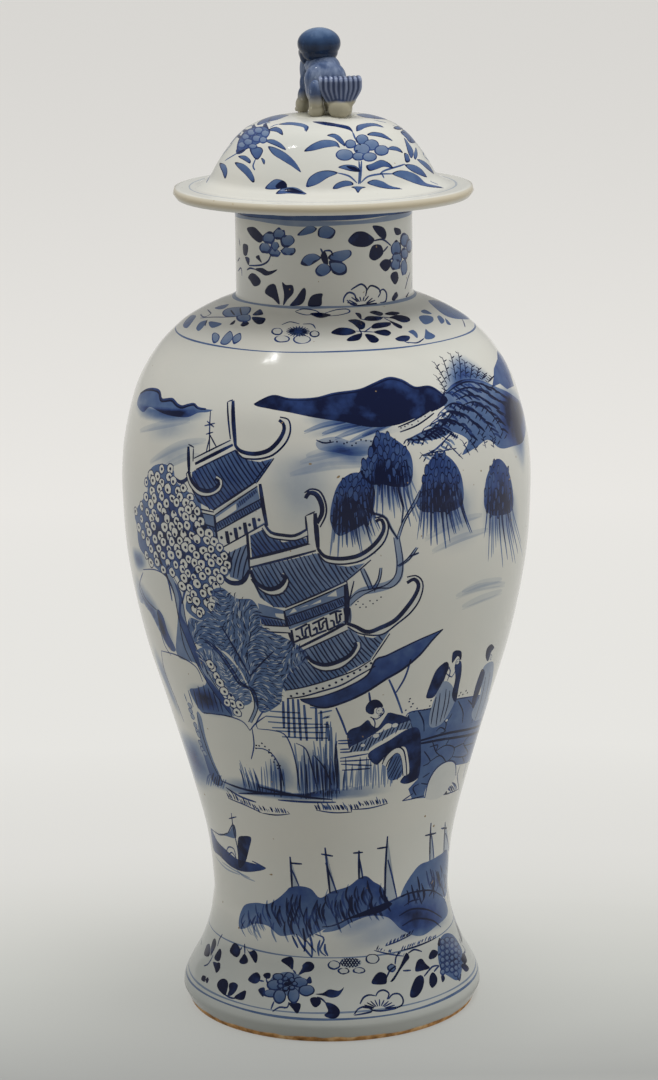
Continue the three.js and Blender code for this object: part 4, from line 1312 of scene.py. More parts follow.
ROBE_LINES = (
    ((436, 698), (433, 712), (431, 725)), ((440, 694), (438, 710), (436, 726)),
    ((446, 690), (444, 706), (440, 722)), ((450, 690), (448, 704), (444, 718)),
    ((486, 676), (481, 700), (475, 720)), ((490, 672), (486, 696), (480, 716)),
    ((443, 683), (446, 674), (450, 666)), ((446, 672), (452, 676), (455, 672)),
    ((446, 722), (450, 718), (452, 714)), ((449, 666), (450, 673), (447, 682)),
    ((436, 732), (441, 727), (446, 731), (440, 734)), ((371, 717), (375, 722), (374, 731)),
    ((383, 708), (384, 713), (380, 717)), ((378, 717), (384, 713)), ((370, 717), (377, 719), (384, 714)),
)
FACES = ((457.5, 663, 1.5), (491, 657, 1.1), (379.5, 711, 1.9))
FACE_LINES = (
    ((456.5, 661.5), (458, 661)), ((459, 661), (460, 661.5)), ((457, 665), (459, 665)),
    ((378, 710), (379.5, 709.5)), ((382, 709.5), (383, 710)), ((380, 713.5), (382, 713)),
    ((490.5, 655), (491.5, 655)), ((490.5, 659), (491.5, 659)),
)
HANDS = ((376, 736, 1.3), (395, 725, 1.3), (447, 719, 0.8), (363, 745, 1.0))
TABLE_TOP = (
    (349, 752), (352, 747), (372, 736), (396, 724), (410, 721), (412, 727), (398, 731), (375, 744),
    (366, 751),
)
TABLE_LEGS = (
    ((368, 755), (390, 740), (408, 729), (419, 731), (421, 752), (420, 770), (417, 780), (407, 784),
     (400, 783), (404, 777), (409, 773), (407, 752), (403, 746), (393, 750), (384, 758), (376, 764)),
)
TABLE_ARCH = (((382, 765), (387, 756), (396, 749), (403, 750), (406, 760), (407, 774)),
              ((386, 768), (389, 760), (396, 754), (400, 755), (402, 764), (403, 776)))
TABLE_SHADE = ((387, 769), (390, 760), (396, 755), (400, 757), (402, 768), (401, 777), (393, 780), (388, 778))
MOSS = (
    (406, 709), (409, 703), (411, 707), (414, 712), (417, 709), (420, 713), (424, 710), (427, 708),
    (410, 699), (431, 701), (430, 705), (455, 695), (459, 696), (463, 694), (467, 694), (461, 692),
    (466, 691), (413, 703),
)
BOAT_HULL = (
    (211, 829), (217, 840), (226, 850), (236, 858), (246, 862), (258, 864), (266, 869), (258, 871.5),
    (244, 871), (232, 867), (221, 858), (213, 847),
)
BOAT_JIB = ((218, 833.5), (228, 832), (234, 824), (236, 838), (227, 837))
BOAT_SAIL = ((238, 838), (244, 836.5), (251, 837), (249, 850), (245, 864), (239, 867), (238, 855))
BOAT_LINES = (
    ((231, 812), (233.5, 830), (237.5, 848), (239, 866)), ((229, 819), (236.5, 817)),
    ((211, 829), (220, 835), (228, 832)),
    ((228, 832), (233, 824), (235, 830), (236, 838)), ((226, 851), (229, 848), (234, 850), (236, 858)),
    ((229, 856), (232, 853), (236, 858)), ((252, 862), (260, 866), (266, 869)),
)
RIPPLES = (
    ((236, 868), (243, 876), (255, 881)), ((222, 862), (236, 872), (250, 878)),
    ((216, 856), (226, 868), (240, 875)),
)
WOODED_BANK = (
    (239, 928), (240, 914), (245, 905), (256, 902), (268, 903), (278, 898), (286, 892), (290, 888),
    (300, 886), (311, 889), (320, 897), (332, 891), (348, 887), (358, 880), (366, 877), (374, 881),
    (382, 888), (388, 900), (392, 905), (380, 912), (360, 917), (345, 920), (325, 929), (308, 938),
    (306, 942), (296, 935), (280, 936), (268, 926), (255, 924), (246, 928),
)
# Trees on the bank: a pixel in each, and how tall its strokes are
BANK_TREES = (
    (250, 912, 20), (262, 912, 22), (274, 908, 24), (286, 906, 26), (298, 900, 28), (310, 904, 28),
    (322, 904, 24), (334, 898, 24), (346, 894, 24), (358, 890, 22), (370, 888, 22), (382, 892, 18),
)
ISLAND = (
    (315, 934), (332, 925), (350, 918), (370, 910), (390, 901), (410, 893), (430, 891), (443, 897),
    (446, 906), (452, 917), (440, 930), (415, 942), (390, 950), (365, 956), (340, 958), (325, 954),
)
ISLAND_TOP = (
    (322, 932), (332, 925), (352, 918), (372, 910), (392, 901), (412, 893), (430, 891), (443, 897),
    (448, 912), (436, 926), (420, 936), (402, 930), (388, 918), (370, 916), (352, 922), (338, 930),
)
ISLAND_SHADES = (
    (((330, 926), (360, 914), (392, 900), (400, 912), (372, 930), (340, 940), (326, 936)), 0.45),
    (((380, 905), (415, 892), (445, 896), (452, 920), (430, 938), (400, 944), (384, 930)), 0.6),
)
ISLAND_LINES = (
    ((322, 927), (335, 925), (350, 918), (370, 910), (390, 901), (410, 893), (430, 891), (442, 896),
     (447, 908)),
    ((315, 934), (324, 938), (320, 950), (326, 956)), ((404, 906), (414, 900), (428, 901), (438, 908)),
    ((399, 916), (412, 909), (428, 910), (442, 918)), ((402, 926), (416, 919), (432, 920), (441, 927)),
    ((306, 940), (316, 952)),
)
FAR_WOOD = (
    (401, 897), (404, 886), (412, 874), (420, 865), (430, 861), (441, 855), (447, 851), (449, 870),
    (447, 888), (444, 897), (430, 891), (412, 892),
)
# Each mast: its top, its foot, the ends of its yard and the foot of its stay
MASTS = (
    ((290, 856), (292, 887), (290, 864, 302, 863), (299, 887)),
    ((325, 847), (330, 894), (321, 854, 333, 857), (337, 893)),
    ((359, 850), (359, 880), (353, 854, 363, 853), (363, 878)),
    ((387.5, 837), (385, 902), (377, 848, 388, 847), (397, 898)),
    ((431, 823), (430, 860), (425, 836, 436, 834), (434, 858)),
    ((445, 823), (444, 852), (441, 829, 447, 828), (449, 850)),
)
ROOTS = (
    ((296, 934), (302, 945), (312, 957)), ((303, 928), (305, 942), (304, 952)),
    ((310, 934), (312, 946), (312, 957)), ((292, 936), (296, 944), (298, 948)),
    ((320, 940), (318, 948), (319, 956)), ((325, 944), (325, 950), (328, 956)),
)
LAND_GRASS = (
    ((385, 946), (412, 934), 12, 5), ((400, 951), (436, 938), 14, 5), ((374, 950), (404, 956), 10, 4),
)


def paint_terrace(pen):
    pen.wash(AWNING, 0.74, 0.1)
    pen.line(AWNING[:9], 0.6, DARK, 0.5)
    pen.line(AWNING[8:], 0.8, DARK, 0.5)
    pen.lines(AWNING_POLES, 0.7, 0.72, 0.7)
    for points, ink in CLIFF_SHADES:
        soft_wash(pen, points, ink)
    pen.wash(CLIFF_BAND, 0.4, 0.05)
    pen.wash(BANK_WASH, 0.42, 0.06)
    pen.wash(CLIFF_WEDGE, 0.55)
    pen.lines(CLIFF_LINES, 0.5, 0.72, 0.4)
    pen.lines(BANK_TICKS, 0.6, 0.6, 0.3)
    for number, spot in enumerate(BARK_LOOPS):
        outlined(pen, spot, blob(1.5, 8, 1.2), 20 * number, 0.4, 0.75, 0.25)
    pen.lines(PLAID_UP, 0.9, 0.62, 0.7)
    pen.lines(PLAID_ACROSS, 0.6, 0.5, 0.7)
    leaves(pen, BIRD_LEAVES, 0.6)
    pen.lines(ROCK_LINES, 0.5, 0.7, 0.4)
    dots(pen, ROCK_DOTS, 0.9)


def paint_bank(pen):
    soft_wash(pen, GROUND, 0.75)
    soft_wash(pen, ((292, 800), (296, 750), (312, 744), (330, 770), (340, 740), (348, 790), (320, 802)), 0.4)
    for seed, (low, high, count, tall, ink, lean) in enumerate(REED_BEDS):
        reeds(pen, low, high, count, tall, seed + 20, ink * 0.6, 0.62, lean)
    pen.lines(GROUND_LINES, 0.8, 0.72, 0.3)
    for seed, (low, high, count, tall) in enumerate(WATER_GRASS):
        grass(pen, low, high, count + 4, tall, seed + 40, 0.8, -0.5)


def paint_bridge(pen):
    pen.patch(BRIDGE, 0.56)
    pen.wash(BRIDGE_ARCH, 0.04, 0, 0)
    for points in BRIDGE_DECK:
        pen.line(points, 0.9, DARK, 0.6)
    pen.lines(BRIDGE_STONES, 0.45, 0.8, 0.6)
    pen.lines(BRIDGE_RAIL, 0.5, 0.75, 0.5)
    pen.line(BRIDGE_ARCH[:6], 0.6, 0.7, 0.5)
    dots(pen, MOSS, 0.9)


def paint_figures(pen):
    for points in ROBES:
        pen.wash(points, 0.28, 0, 0)
    for points in COATS:
        pen.wash(points, 0.9, 0, 0)
    for x, y, size in FACES:
        outlined(pen, (x, y), blob(size, 10, 0.85), 0, 0.3, 0.75, 0.03)
    pen.lines(FACE_LINES, 0.3, 0.85, 0.7)
    pen.lines(ROBE_LINES, 0.45, 0.8, 0.4)
    pen.patch(TABLE_TOP, 0.4, 0, 0)
    hatch(pen, TABLE_TOP, -0.5, 3.2, 0.45, 0.85)
    pen.line([(352, 752), (372, 742), (398, 729), (411, 725)], 0.6, 0.04, 0.6)
    for points in TABLE_LEGS:
        pen.wash(points, 0.88, 0, 0)
    banded(pen, *TABLE_ARCH, 0.5, 0.5)
    pen.wash(TABLE_SHADE, 0.55, 0, 0)
    hatch(pen, TABLE_SHADE, -0.5, 3.0, 0.4, 0.85)
    pen.lines(GATE_ACROSS, 0.6, 0.72, 0.5)
    for x, y, size in HANDS:
        outlined(pen, (x, y), blob(size, 9, 1.3), 0, 0.3, 0.7, 0.03)


def paint_boat(pen):
    pen.wash(BOAT_HULL, 0.78, 0.05)
    pen.wash(BOAT_JIB, 0.5)
    pen.wash(BOAT_SAIL, 0.9)
    pen.lines(BOAT_LINES, 0.5, 0.8, 0.5)
    pen.lines(RIPPLES, 0.6, 0.2, 0.2)


def mast(pen, top, foot, yard, stay):
    """A moored boat's mast with its yard and the pale sail between mast and stay."""
    pen.patch([top, (foot[0] - 1, foot[1]), stay], 0.16)
    pen.line([top, foot], 0.75, 0.78, 0.6)
    bend = ((top[0] + stay[0]) / 2 + 0.5, (top[1] + stay[1] * 2) / 3)
    pen.line([(top[0] + 0.5, (top[1] * 2 + foot[1]) / 3), bend, stay], 0.6, 0.66, 0.6)
    pen.line([yard[:2], yard[2:]], 0.7, 0.85, 0.5)


def paint_island(pen):
    dice = random.Random(12)
    soft_wash(pen, ISLAND, 0.2)
    for parts in MASTS:
        mast(pen, *parts)
    pen.wash(WOODED_BANK, 0.58, -0.15)
    for x, y, tall in BANK_TREES:
        for _ in range(8):
            start = x + dice.uniform(-7, 7), y + dice.uniform(-9, 16)
            bend = dice.uniform(-4, 2)
            half_way = start[0] + bend, start[1] + tall * 0.4
            end = start[0] + bend + 4, start[1] + tall * 0.8
            pen.line([start, half_way, end], dice.uniform(0.5, 0.9), dice.uniform(0.15, 0.4), 0.15)
    pen.wash(FAR_WOOD, 0.5, -0.08)
    for _ in range(26):
        x = dice.uniform(404, 446)
        y = 892 - dice.uniform(4, 22) * (0.4 + (x - 404) / 42)
        end = x + dice.uniform(-2, 5), y + 16
        pen.line([(x, y), (x + 2, y + 8), end], 0.8, dice.uniform(0.25, 0.5), 0.2)
    pen.wash(ISLAND_TOP, 0.5, -0.08)
    for points, ink in ISLAND_SHADES:
        soft_wash(pen, points, ink * 0.4)
    pen.lines(ISLAND_LINES, 0.6, 0.7, 0.3)
    pen.lines(ROOTS, 0.8, 0.7, 0.3)
    for seed, (low, high, count, tall) in enumerate(LAND_GRASS):
        grass(pen, low, high, count, tall, seed + 60, 0.75, 0.5)


# Flower sprays of the cover, neck, shoulder and foot. LEAVES are filled outlines, PETALS have a darker edge.

COVER_LEAVES = (
    ((279, 124), (289, 122), (301, 123), (308.5, 126.5), (306, 132), (304, 127.5), (293, 125), (283, 125)),
    ((356, 130.5), (357.5, 125.5), (366, 123), (376, 123.5), (384, 127.5), (374, 126), (366, 127.5),
     (359, 131)),
    ((304, 151), (313, 143.5), (324, 140), (336, 141.5), (340, 148), (336, 146.5), (324, 148), (313, 150.5)),
    ((327, 135.5), (333, 133.5), (339, 135.5), (344, 141.5), (345, 146.5), (340, 143), (334, 138)),
    ((367, 135), (372, 132), (381, 133), (387.5, 136.5), (392.5, 141), (382, 137.5), (374, 136)),
    ((386.5, 149), (392, 146), (399, 148), (403, 153), (397, 151), (391, 150)),
    ((338, 167), (346, 164.5), (356, 166), (360, 171.5), (352, 171.5), (344, 169.5)),
    ((366, 166), (372, 163.5), (381, 160), (389, 163), (393, 168), (384, 167), (376, 169.5), (369, 171)),
    ((306, 186.5), (309, 178), (318, 172), (329, 170.5), (338, 173), (328, 177.5), (319, 183.5),
     (312, 186.5)),
    ((332.5, 188.5), (336, 183.5), (344, 180.5), (351, 181.5), (353.5, 185), (344, 187), (337, 189)),
    ((392, 174), (399, 170.5), (409, 171.5), (419, 176.5), (429, 184.5), (444, 188), (429, 187), (415, 183.5),
     (402, 178.5)),
    ((367, 183), (374, 179.5), (382, 181), (391, 186), (403, 189), (389, 189), (377, 187)),
    ((405, 164.5), (414, 165), (422, 169.5), (427, 177.5), (417, 174), (409, 169.5)),
    ((268, 130), (275, 127), (281.5, 129), (283, 135), (276, 132)),
    ((265, 140.5), (273, 139.5), (281.5, 143.5), (286, 150), (276, 146)),
    ((268, 146.5), (276, 148), (286, 153.5), (295, 161.5), (301, 172), (291, 166), (281, 159.5),
     (272.5, 154)),
    ((250, 148), (260, 147), (263, 151.5), (258, 159.5), (253, 156.5)), ((261, 158), (265, 160), (264, 165)),
    ((238, 156.5), (245, 155.5), (250.5, 159.5), (250, 163.5), (244, 160.5)),
    ((234.5, 163), (243, 163.5), (250, 169.5), (254.5, 178), (253, 182.5), (244.5, 174)),
    ((219.5, 163), (225, 164.5), (227.5, 171), (225, 179), (222, 171)),
    ((393, 127.5), (397.5, 126), (402, 129), (397.5, 130)),
    ((404, 138), (409, 143.5), (413.5, 151.5), (411.5, 158.5), (407.5, 151)),
    ((415.5, 147), (417.5, 153), (415.5, 160), (413.5, 154.5)),
    ((404, 153), (408, 154.5), (410, 161), (405.5, 162)),
    ((417, 159.5), (424, 161), (430.5, 167), (434, 174), (426.5, 168.5)),
    ((441, 175.5), (447, 177), (454, 177), (448, 179.5)),
    ((265, 188.5), (269.5, 183), (276, 179), (284.5, 181), (286.5, 187), (275, 189.5)),
    ((276, 194), (281, 188.5), (293, 187), (301, 190), (306.5, 194.5), (290, 193.5)),
    ((351, 187), (357, 186), (366, 187), (361, 189), (358, 193), (355, 189)),
)
COVER_DARK = (
    ((241, 139), (237.5, 135), (243.5, 136)), ((244, 132.5), (242, 127), (248.5, 130)),
    ((252, 128.5), (254, 124), (257.5, 128)), ((262, 128.5), (266.5, 123), (268.5, 128.5)),
    ((312.5, 121.5), (323, 121.5), (338, 124), (349, 126.5), (353, 132.5), (348.5, 130), (337, 127),
     (322, 124.5)),
    ((276, 185), (283, 180.5), (287, 187.5), (277, 188.5)),
    ((284, 190), (293, 188), (304, 193), (290, 192.5)),
    ((236, 150), (240, 148), (246, 149), (242, 153), (237, 154)),
    ((346, 166), (355, 167), (359, 171), (352, 170)),
)
COVER_PEONIES = (
    ((236.5, 149), (239.5, 138), (245, 131), (253, 127.5), (265, 126.5), (270, 131), (266.5, 138.5),
     (257, 144.5), (248, 148.5), (240, 152)),
    ((400.5, 131.5), (405.5, 128), (412.5, 132), (416, 140), (411, 143), (405.5, 137.5)),
    ((356, 114.5), (364, 113.5), (378, 115), (388, 118.5), (376, 119), (362, 117)),
)
# Petals as ovals: middle, half width and half height in pixels
COVER_PETALS = (
    (350.5, 144, 5.6, 4.6), (362, 139.5, 6.6, 5.2), (371, 145, 8, 5.8), (381.5, 150.5, 7.4, 5.4),
    (362, 149, 8.4, 5.6), (344.5, 155, 9, 5.8), (358.5, 156.5, 6.6, 4.2), (369.5, 157, 7.6, 4.6),
    (241.5, 145, 4.4, 3.4), (245.5, 137, 4.4, 3.6), (251, 132.5, 4.8, 3.6), (258.5, 130.5, 5, 3.6),
    (265, 133.5, 4.6, 3.8), (248, 142, 5, 3.6), (256.5, 138.5, 5.2, 3.8), (263, 140, 4.4, 3.6),
    (252.5, 146.5, 5, 2.8),
)
COVER_STEMS = (
    ((352.5, 132), (355, 138), (358, 142)), ((361.5, 161), (361, 172), (360, 184)),
    ((359, 161), (359.5, 172), (358.5, 184)), ((338, 173), (349, 176), (357, 183)),
    ((361, 183), (368, 176.5), (380, 174), (393, 174)), ((380, 174), (386, 170), (405, 164)),
    ((225, 160.5), (236, 154), (244, 149.5)), ((416, 140), (422, 148), (424, 156), (431, 161)),
    ((216.5, 161.5), (224, 146), (233, 133)), ((220.5, 158), (226, 151), (232.5, 143.5)),
    ((241, 130), (248, 126.5), (255, 125.5)), ((263, 125.5), (266, 123), (270, 123)),
    ((246, 123.5), (252, 120.5)), ((259, 119.5), (266, 116.5), (272, 115.5)),
    ((206.5, 182.5), (210, 172), (213.5, 163.5)), ((270, 127.5), (275, 125), (280, 124)),
    ((382, 174), (384, 178)), ((256, 158), (253, 166), (255, 170)), ((430, 181), (438, 184.5)),
)
NECK_DARK = (
    ((320.5, 255), (324.5, 251.5), (328, 258), (327.5, 266), (323.5, 263)),
    ((247, 228.5), (254, 227), (260.5, 232.5), (264, 239), (260, 242.5), (254, 238.5), (249, 233.5)),
    ((254.5, 269.5), (262, 269), (268.5, 270.5), (277.5, 268.5), (272, 273), (265.5, 275.5), (260, 273)),
    ((248, 276.5), (251, 273.5), (255.5, 275), (260.5, 280.5), (259.5, 284.5), (254, 285.5), (250, 281.5)),
    ((265, 293), (268, 286), (274.5, 285), (277.5, 291.5), (279.5, 304.5), (273, 299.5)),
    ((282, 282.5), (286, 285), (292.5, 286.5), (293.5, 293), (287.5, 299.5), (282.5, 305.5), (284, 294)),
    ((303, 289), (306, 291), (304.5, 300.5), (299, 304.5), (289.5, 305.5), (296, 297)),
    ((311.5, 297), (322, 292.5), (322, 299.5), (320.5, 306), (308, 306)),
    ((348, 240), (355, 233.5), (364, 232), (371.5, 235.5), (374.5, 241), (368, 246), (359, 247),
     (352, 244.5)),
    ((372.5, 226), (383, 226.5), (386.5, 233), (384.5, 238.5), (378, 234.5)),
    ((369, 255), (372.5, 247), (380.5, 246), (383.5, 251), (380.5, 257.5), (374, 260)),
    ((379.5, 265), (384.5, 259.5), (391, 260.5), (391, 266.5), (385.5, 271)),
    ((390.5, 279), (392, 272.5), (397, 271.5), (398.5, 278), (395, 284)),
    ((243, 244.5), (248, 246), (247, 256), (243.5, 254)), ((245, 257), (249.5, 258), (248.5, 266)),
    ((255.5, 256), (259, 255), (260, 258.5), (262, 264), (258, 260)),
    ((394, 228), (400, 228), (401, 234), (396, 235)), ((392, 297), (396, 291), (398, 296), (394, 301)),
)
NECK_PETALS = (
    (268.5, 238, 5.8, 5.2), (279, 234, 5.6, 5.0), (287.5, 241, 6.4, 5.4), (265, 248, 5.2, 4.8),
    (288, 251, 6.8, 3.8), (274.5, 253, 5.6, 3.4), (275, 246, 4.0, 4.0), (396, 249, 4.6, 7.2),
    (404.5, 240.5, 4.0, 6.4), (397, 258, 4.6, 5.0), (395.5, 265, 4.4, 4.8), (404, 267.5, 3.0, 7.4),
    (404.5, 253.5, 3.4, 5.0), (409, 246, 2.6, 6.5),
)
BUTTERFLY_WINGS = (
    ((300.5, 262), (305, 255), (313, 253.5), (319.5, 255), (321, 259.5), (314, 262.5), (309, 266.5),
     (304, 265.5)),
    ((328, 259), (332, 252.5), (341, 250), (350, 250.5), (351.5, 256), (345, 260.5), (337, 262)),
    ((315, 272), (318, 265), (323, 263), (329.5, 266), (331, 271.5), (324.5, 277), (318, 276)),
    ((329, 262), (338.5, 261.5), (346, 266), (346.5, 271.5), (340, 274.5), (333, 273), (330.5, 267.5)),
    ((297.5, 236.5), (301, 230.5), (309, 226.5), (317, 227.5), (311.5, 234.5)),
    ((318, 236.5), (319, 228), (327, 226), (335.5, 230), (332, 237.5), (324.5, 239)),
)
NECK_LINES = (
    ((271, 255), (268, 260), (260.5, 264.5), (249, 266.5)), ((374, 241), (383, 240), (391, 246)),
    ((383, 252), (388, 247)), ((320.5, 248), (323, 253.5), (324, 259)),
    ((324, 251.5), (330.5, 252), (333, 255)), ((388, 262), (393, 258)),
    ((343.5, 303.5), (344, 297), (348.5, 293.5), (354.5, 295.5), (356.5, 301)),
    ((351, 291), (355, 286), (361.5, 285), (366.5, 289), (365.5, 296)),
    ((366.5, 291), (370.5, 286), (377, 286.5), (380.5, 291), (378, 297.5)),
    ((379, 292), (383, 289.5), (386.5, 294), (385.5, 300), (380, 302.5)),
    ((347, 299), (352, 304), (358, 305.5), (367, 304.5), (377, 303.5)),
    ((405, 289.5), (408, 279), (410, 271)), ((237.5, 262), (240, 258)), ((238, 272), (241, 269), (242, 276)),
    ((239, 238), (240, 246)), ((411, 288), (412, 280)), ((409, 292), (406, 297)),
    ((255, 270), (250, 268), (247, 270)),
)
SHOULDER_DARK = (
    ((252.5, 315), (260, 309), (263, 314.5)), ((252, 317), (265, 318), (263, 323.5), (256.5, 324)),
    ((229.5, 324.5), (235, 320), (234, 324)), ((240.5, 325), (245, 320.5), (249, 323.5), (244, 326.5)),
    ((331, 332.5), (339, 327.5), (350, 328.5), (356, 332), (348, 335), (337.5, 335)),
    ((348, 320.5), (356, 319), (364.5, 322.5), (364.5, 328), (359.5, 329.5), (353.5, 324)),
    ((374, 331.5), (385, 329.5), (391, 332.5), (387, 336), (377.5, 334)),
    ((371, 327.5), (375.5, 323), (389.5, 322), (389.5, 326), (376.5, 328.5)),
    ((346.5, 339.5), (352.5, 335.5), (362, 333.5), (359.5, 340), (350, 341.5)),
    ((365, 334.5), (373, 335), (379, 339.5), (375.5, 343), (369.5, 341.5)),
    ((364, 319.5), (368.5, 316), (382.5, 317), (379, 320.5), (368.5, 321)),
    ((369.5, 312.5), (374.5, 310.5), (383, 313), (380, 316)),
    ((384.5, 314), (391.5, 311.5), (400, 313), (394, 315.5)),
    ((389, 317.5), (398.5, 315), (408, 317), (410, 321), (403, 322.5), (394, 319)),
    ((389, 320.5), (396, 323), (402, 326), (401, 328.5), (395, 326)),
    ((355, 313), (360.5, 313.5), (361, 319.5)),
    ((395, 338.5), (402, 335.5), (410, 336.5), (408, 341), (399.5, 341)),
    ((310, 313.5), (320, 312.5), (331, 315), (320, 318)),
)
SHOULDER_GREY = (
    ((196, 328), (200.5, 322), (207, 320.5), (205, 325), (199, 331)),
    ((209, 321.5), (215.5, 322), (222, 324), (212, 328)),
    ((215, 307.5), (228.5, 304), (225, 308), (219, 309.5)),
    ((183, 324.5), (191, 315.5), (196, 316.5), (188, 327.5)),
    ((408, 331.5), (413.5, 330), (417.5, 334), (417, 338), (412, 334)),
    ((425, 334), (426, 329), (428.5, 331.5), (435, 335.5), (432, 339), (425, 339)),
    ((419, 317), (423.5, 315), (432, 316.5), (433.5, 321), (426, 324.5), (421, 321.5)),
    ((421, 311), (425, 309.5), (432, 314), (424, 313.5)),
    ((437, 317), (440, 315.5), (444.5, 320.5), (441, 323.5)), ((445, 318), (451, 324.5), (447, 324)),
    ((176, 318), (186, 310), (198, 303), (190, 312)),
    ((428, 300.5), (442, 302), (456, 309.5), (470, 317), (456, 319), (440, 312)),
)
SHOULDER_PETALS = (
    ((222, 313), (227, 308.5), (238.5, 307), (250.5, 307), (249, 313.5), (238.5, 316.5), (227, 317)),
    ((236, 317), (243, 314.5), (250, 315), (250, 320.5), (240, 321.5)),
    ((212, 334.5), (215.5, 332.5), (219.5, 336), (218, 341.5), (213, 343)),
    ((220, 342.5), (229.5, 331), (233, 337.5), (227, 344.5)),
    ((232.5, 337.5), (240, 333), (241, 339.5), (234, 344)),
)
SHOULDER_RINGS = ((277, 331.5, 5.8, 3.8), (282, 339, 8, 3.6), (302, 339.5, 9.2, 4.4), (314.5, 334, 5.2, 3.4))
SHOULDER_LINES = (
    ((282, 324.5), (290, 322), (299.5, 324)), ((303, 324), (312, 324), (315.5, 328.5)),
    ((200.5, 318), (211, 317), (229, 317), (235, 316.5)),
    ((200.5, 314.5), (204, 317), (211, 313.5), (207.5, 309.5)), ((407, 342), (417, 342.5), (424, 338.5)),
    ((462, 319), (465, 327)), ((205, 326), (207, 320)), ((356, 331), (374, 332)), ((359, 329), (362, 334)),
    ((364, 332), (371, 327)), ((382, 317), (390, 318)), ((384, 318), (390, 321)),
    ((295, 311.5), (303, 309), (315, 310.5), (321, 314)), ((296, 312), (306, 315), (314, 314)),
    ((325, 313), (336, 310), (347, 309), (349.5, 312), (340, 315), (328, 316)), ((231, 310), (235, 315)),
    ((240, 308), (242, 315)), ((360.5, 319), (366, 320)), ((404, 341), (409, 343)),
    ((196, 309), (206, 304), (218, 300)),
)
ASTER = ((298, 331.5), 12, 5.5, 22)
FOOT_DARK = (
    ((204, 954), (206.5, 945.5), (209.5, 944), (210.5, 950), (208.5, 956.5)),
    ((211, 947), (213, 940), (215.5, 939), (216, 945.5), (212, 954), (210.5, 955.5)),
    ((214.5, 956.5), (219.5, 948.5), (221.5, 952), (220, 960), (216.5, 961)),
    ((213, 961.5), (214.5, 967.5), (216.5, 973), (220, 968.5), (220, 963), (216.5, 962.5)),
    ((229.5, 951), (232, 945.5), (235, 943), (239, 946), (240.5, 952), (237, 957.5), (231.5, 954)),
    ((239, 961.5), (241.5, 957.5), (244.5, 954), (248, 959), (247, 963.5), (242, 964)),
    ((244.5, 944.5), (249, 951), (254, 950.5), (257.5, 954.5), (257, 961.5), (255, 962.5), (251.5, 957.5)),
    ((217, 984), (220, 979.5), (224.5, 979), (228, 982.5), (227.5, 989), (225.5, 995), (221.5, 993),
     (218, 989)),
    ((229, 984), (233.5, 982.5), (238, 985), (236, 991), (231.5, 995.5), (227.5, 995.5), (229, 990)),
    ((234, 997.5), (239, 993), (246, 990.5), (244.5, 998.5), (240.5, 1000)),
    ((201, 979.5), (203, 975), (206, 977), (204.5, 982)),
    ((205.5, 980.5), (207.5, 977), (209, 979.5), (207, 983.5)),
    ((281, 961), (285, 957.5), (291, 957), (293.5, 960), (293.5, 966), (292.5, 970), (288, 966)),
    ((298, 975), (302, 968.5), (302.5, 964.5), (307, 961.5), (312.5, 963), (314.5, 967.5), (311, 971),
     (304.5, 973)),
    ((248, 979), (252, 974.5), (257.5, 972), (260.5, 977), (259, 982), (254.5, 984), (250, 982)),
    ((263, 975), (266.5, 972.5), (270.5, 973.5), (270, 978), (266, 979)),
    ((306, 981), (310, 976), (312, 982.5), (309, 984)), ((258, 990), (264, 987.5), (265, 992), (263, 997)),
    ((288.5, 1003.5), (294.5, 1002.5), (300.5, 1003.5), (300, 1009.5), (297, 1013.5), (292.5, 1008.5)),
    ((310, 999), (314.5, 997), (320.5, 999), (320.5, 1004), (315.5, 1007.5), (311.5, 1004)),
    ((315, 994), (323, 993), (329.5, 989.5), (339, 990.5), (344.5, 987), (339, 995.5), (331.5, 997.5),
     (324, 996)),
    ((325, 1002.5), (331.5, 1003.5), (337, 1006.5), (340, 1011), (338, 1017), (331.5, 1018.5), (324, 1015.5),
     (328, 1011)),
    ((372, 983.5), (374, 976.5), (379.5, 972), (386, 974), (387, 980), (385, 984)),
    ((390, 981.5), (395, 975), (400, 965.5), (406, 953), (409.5, 957.5), (405.5, 962.5), (400, 970.5),
     (394, 980.5)),
    ((415.5, 971.5), (416, 964), (418, 960), (422, 959), (426, 964), (430, 968), (423, 970.5)),
    ((410, 996.5), (411, 988), (415.5, 978.5), (421, 975), (424, 979), (423, 988), (418.5, 995),
     (413.5, 998)),
    ((429, 982.5), (430, 976), (433, 972), (437, 977), (437, 982.5), (432.5, 988), (430, 985.5)),
    ((428.5, 957.5), (430, 953), (433, 949.5), (438, 952), (436, 957), (431, 959.5)),
    ((441, 977), (442.5, 973.5), (445, 978), (442.5, 982.5)),
    ((437.5, 944.5), (439.5, 938), (441.5, 942), (439.5, 946)),
    ((461, 959), (464, 953), (467, 960), (465, 964)), ((461, 966), (464, 963), (469, 968), (466, 972)),
)
FOOT_PETALS = (
    (278, 977, 5.8, 4.2), (289, 976.5, 5.4, 4.2), (300, 982.5, 8.4, 5.4), (306.5, 990.5, 8.4, 5.8),
    (274, 985, 7.6, 5.6), (270.5, 993.5, 7.4, 4.4), (279.5, 996.5, 6.6, 7.4), (293.5, 995.5, 6.2, 8.0),
    (285.5, 983, 4.0, 3.4), (391.5, 968, 4.6, 4.2),
)
FOOT_RINGS = ((372.5, 959, 7.2, 5.2), (343.5, 971, 6.2, 3.4), (359, 970.5, 6.6, 3.2), (334, 965, 6.6, 4.6))
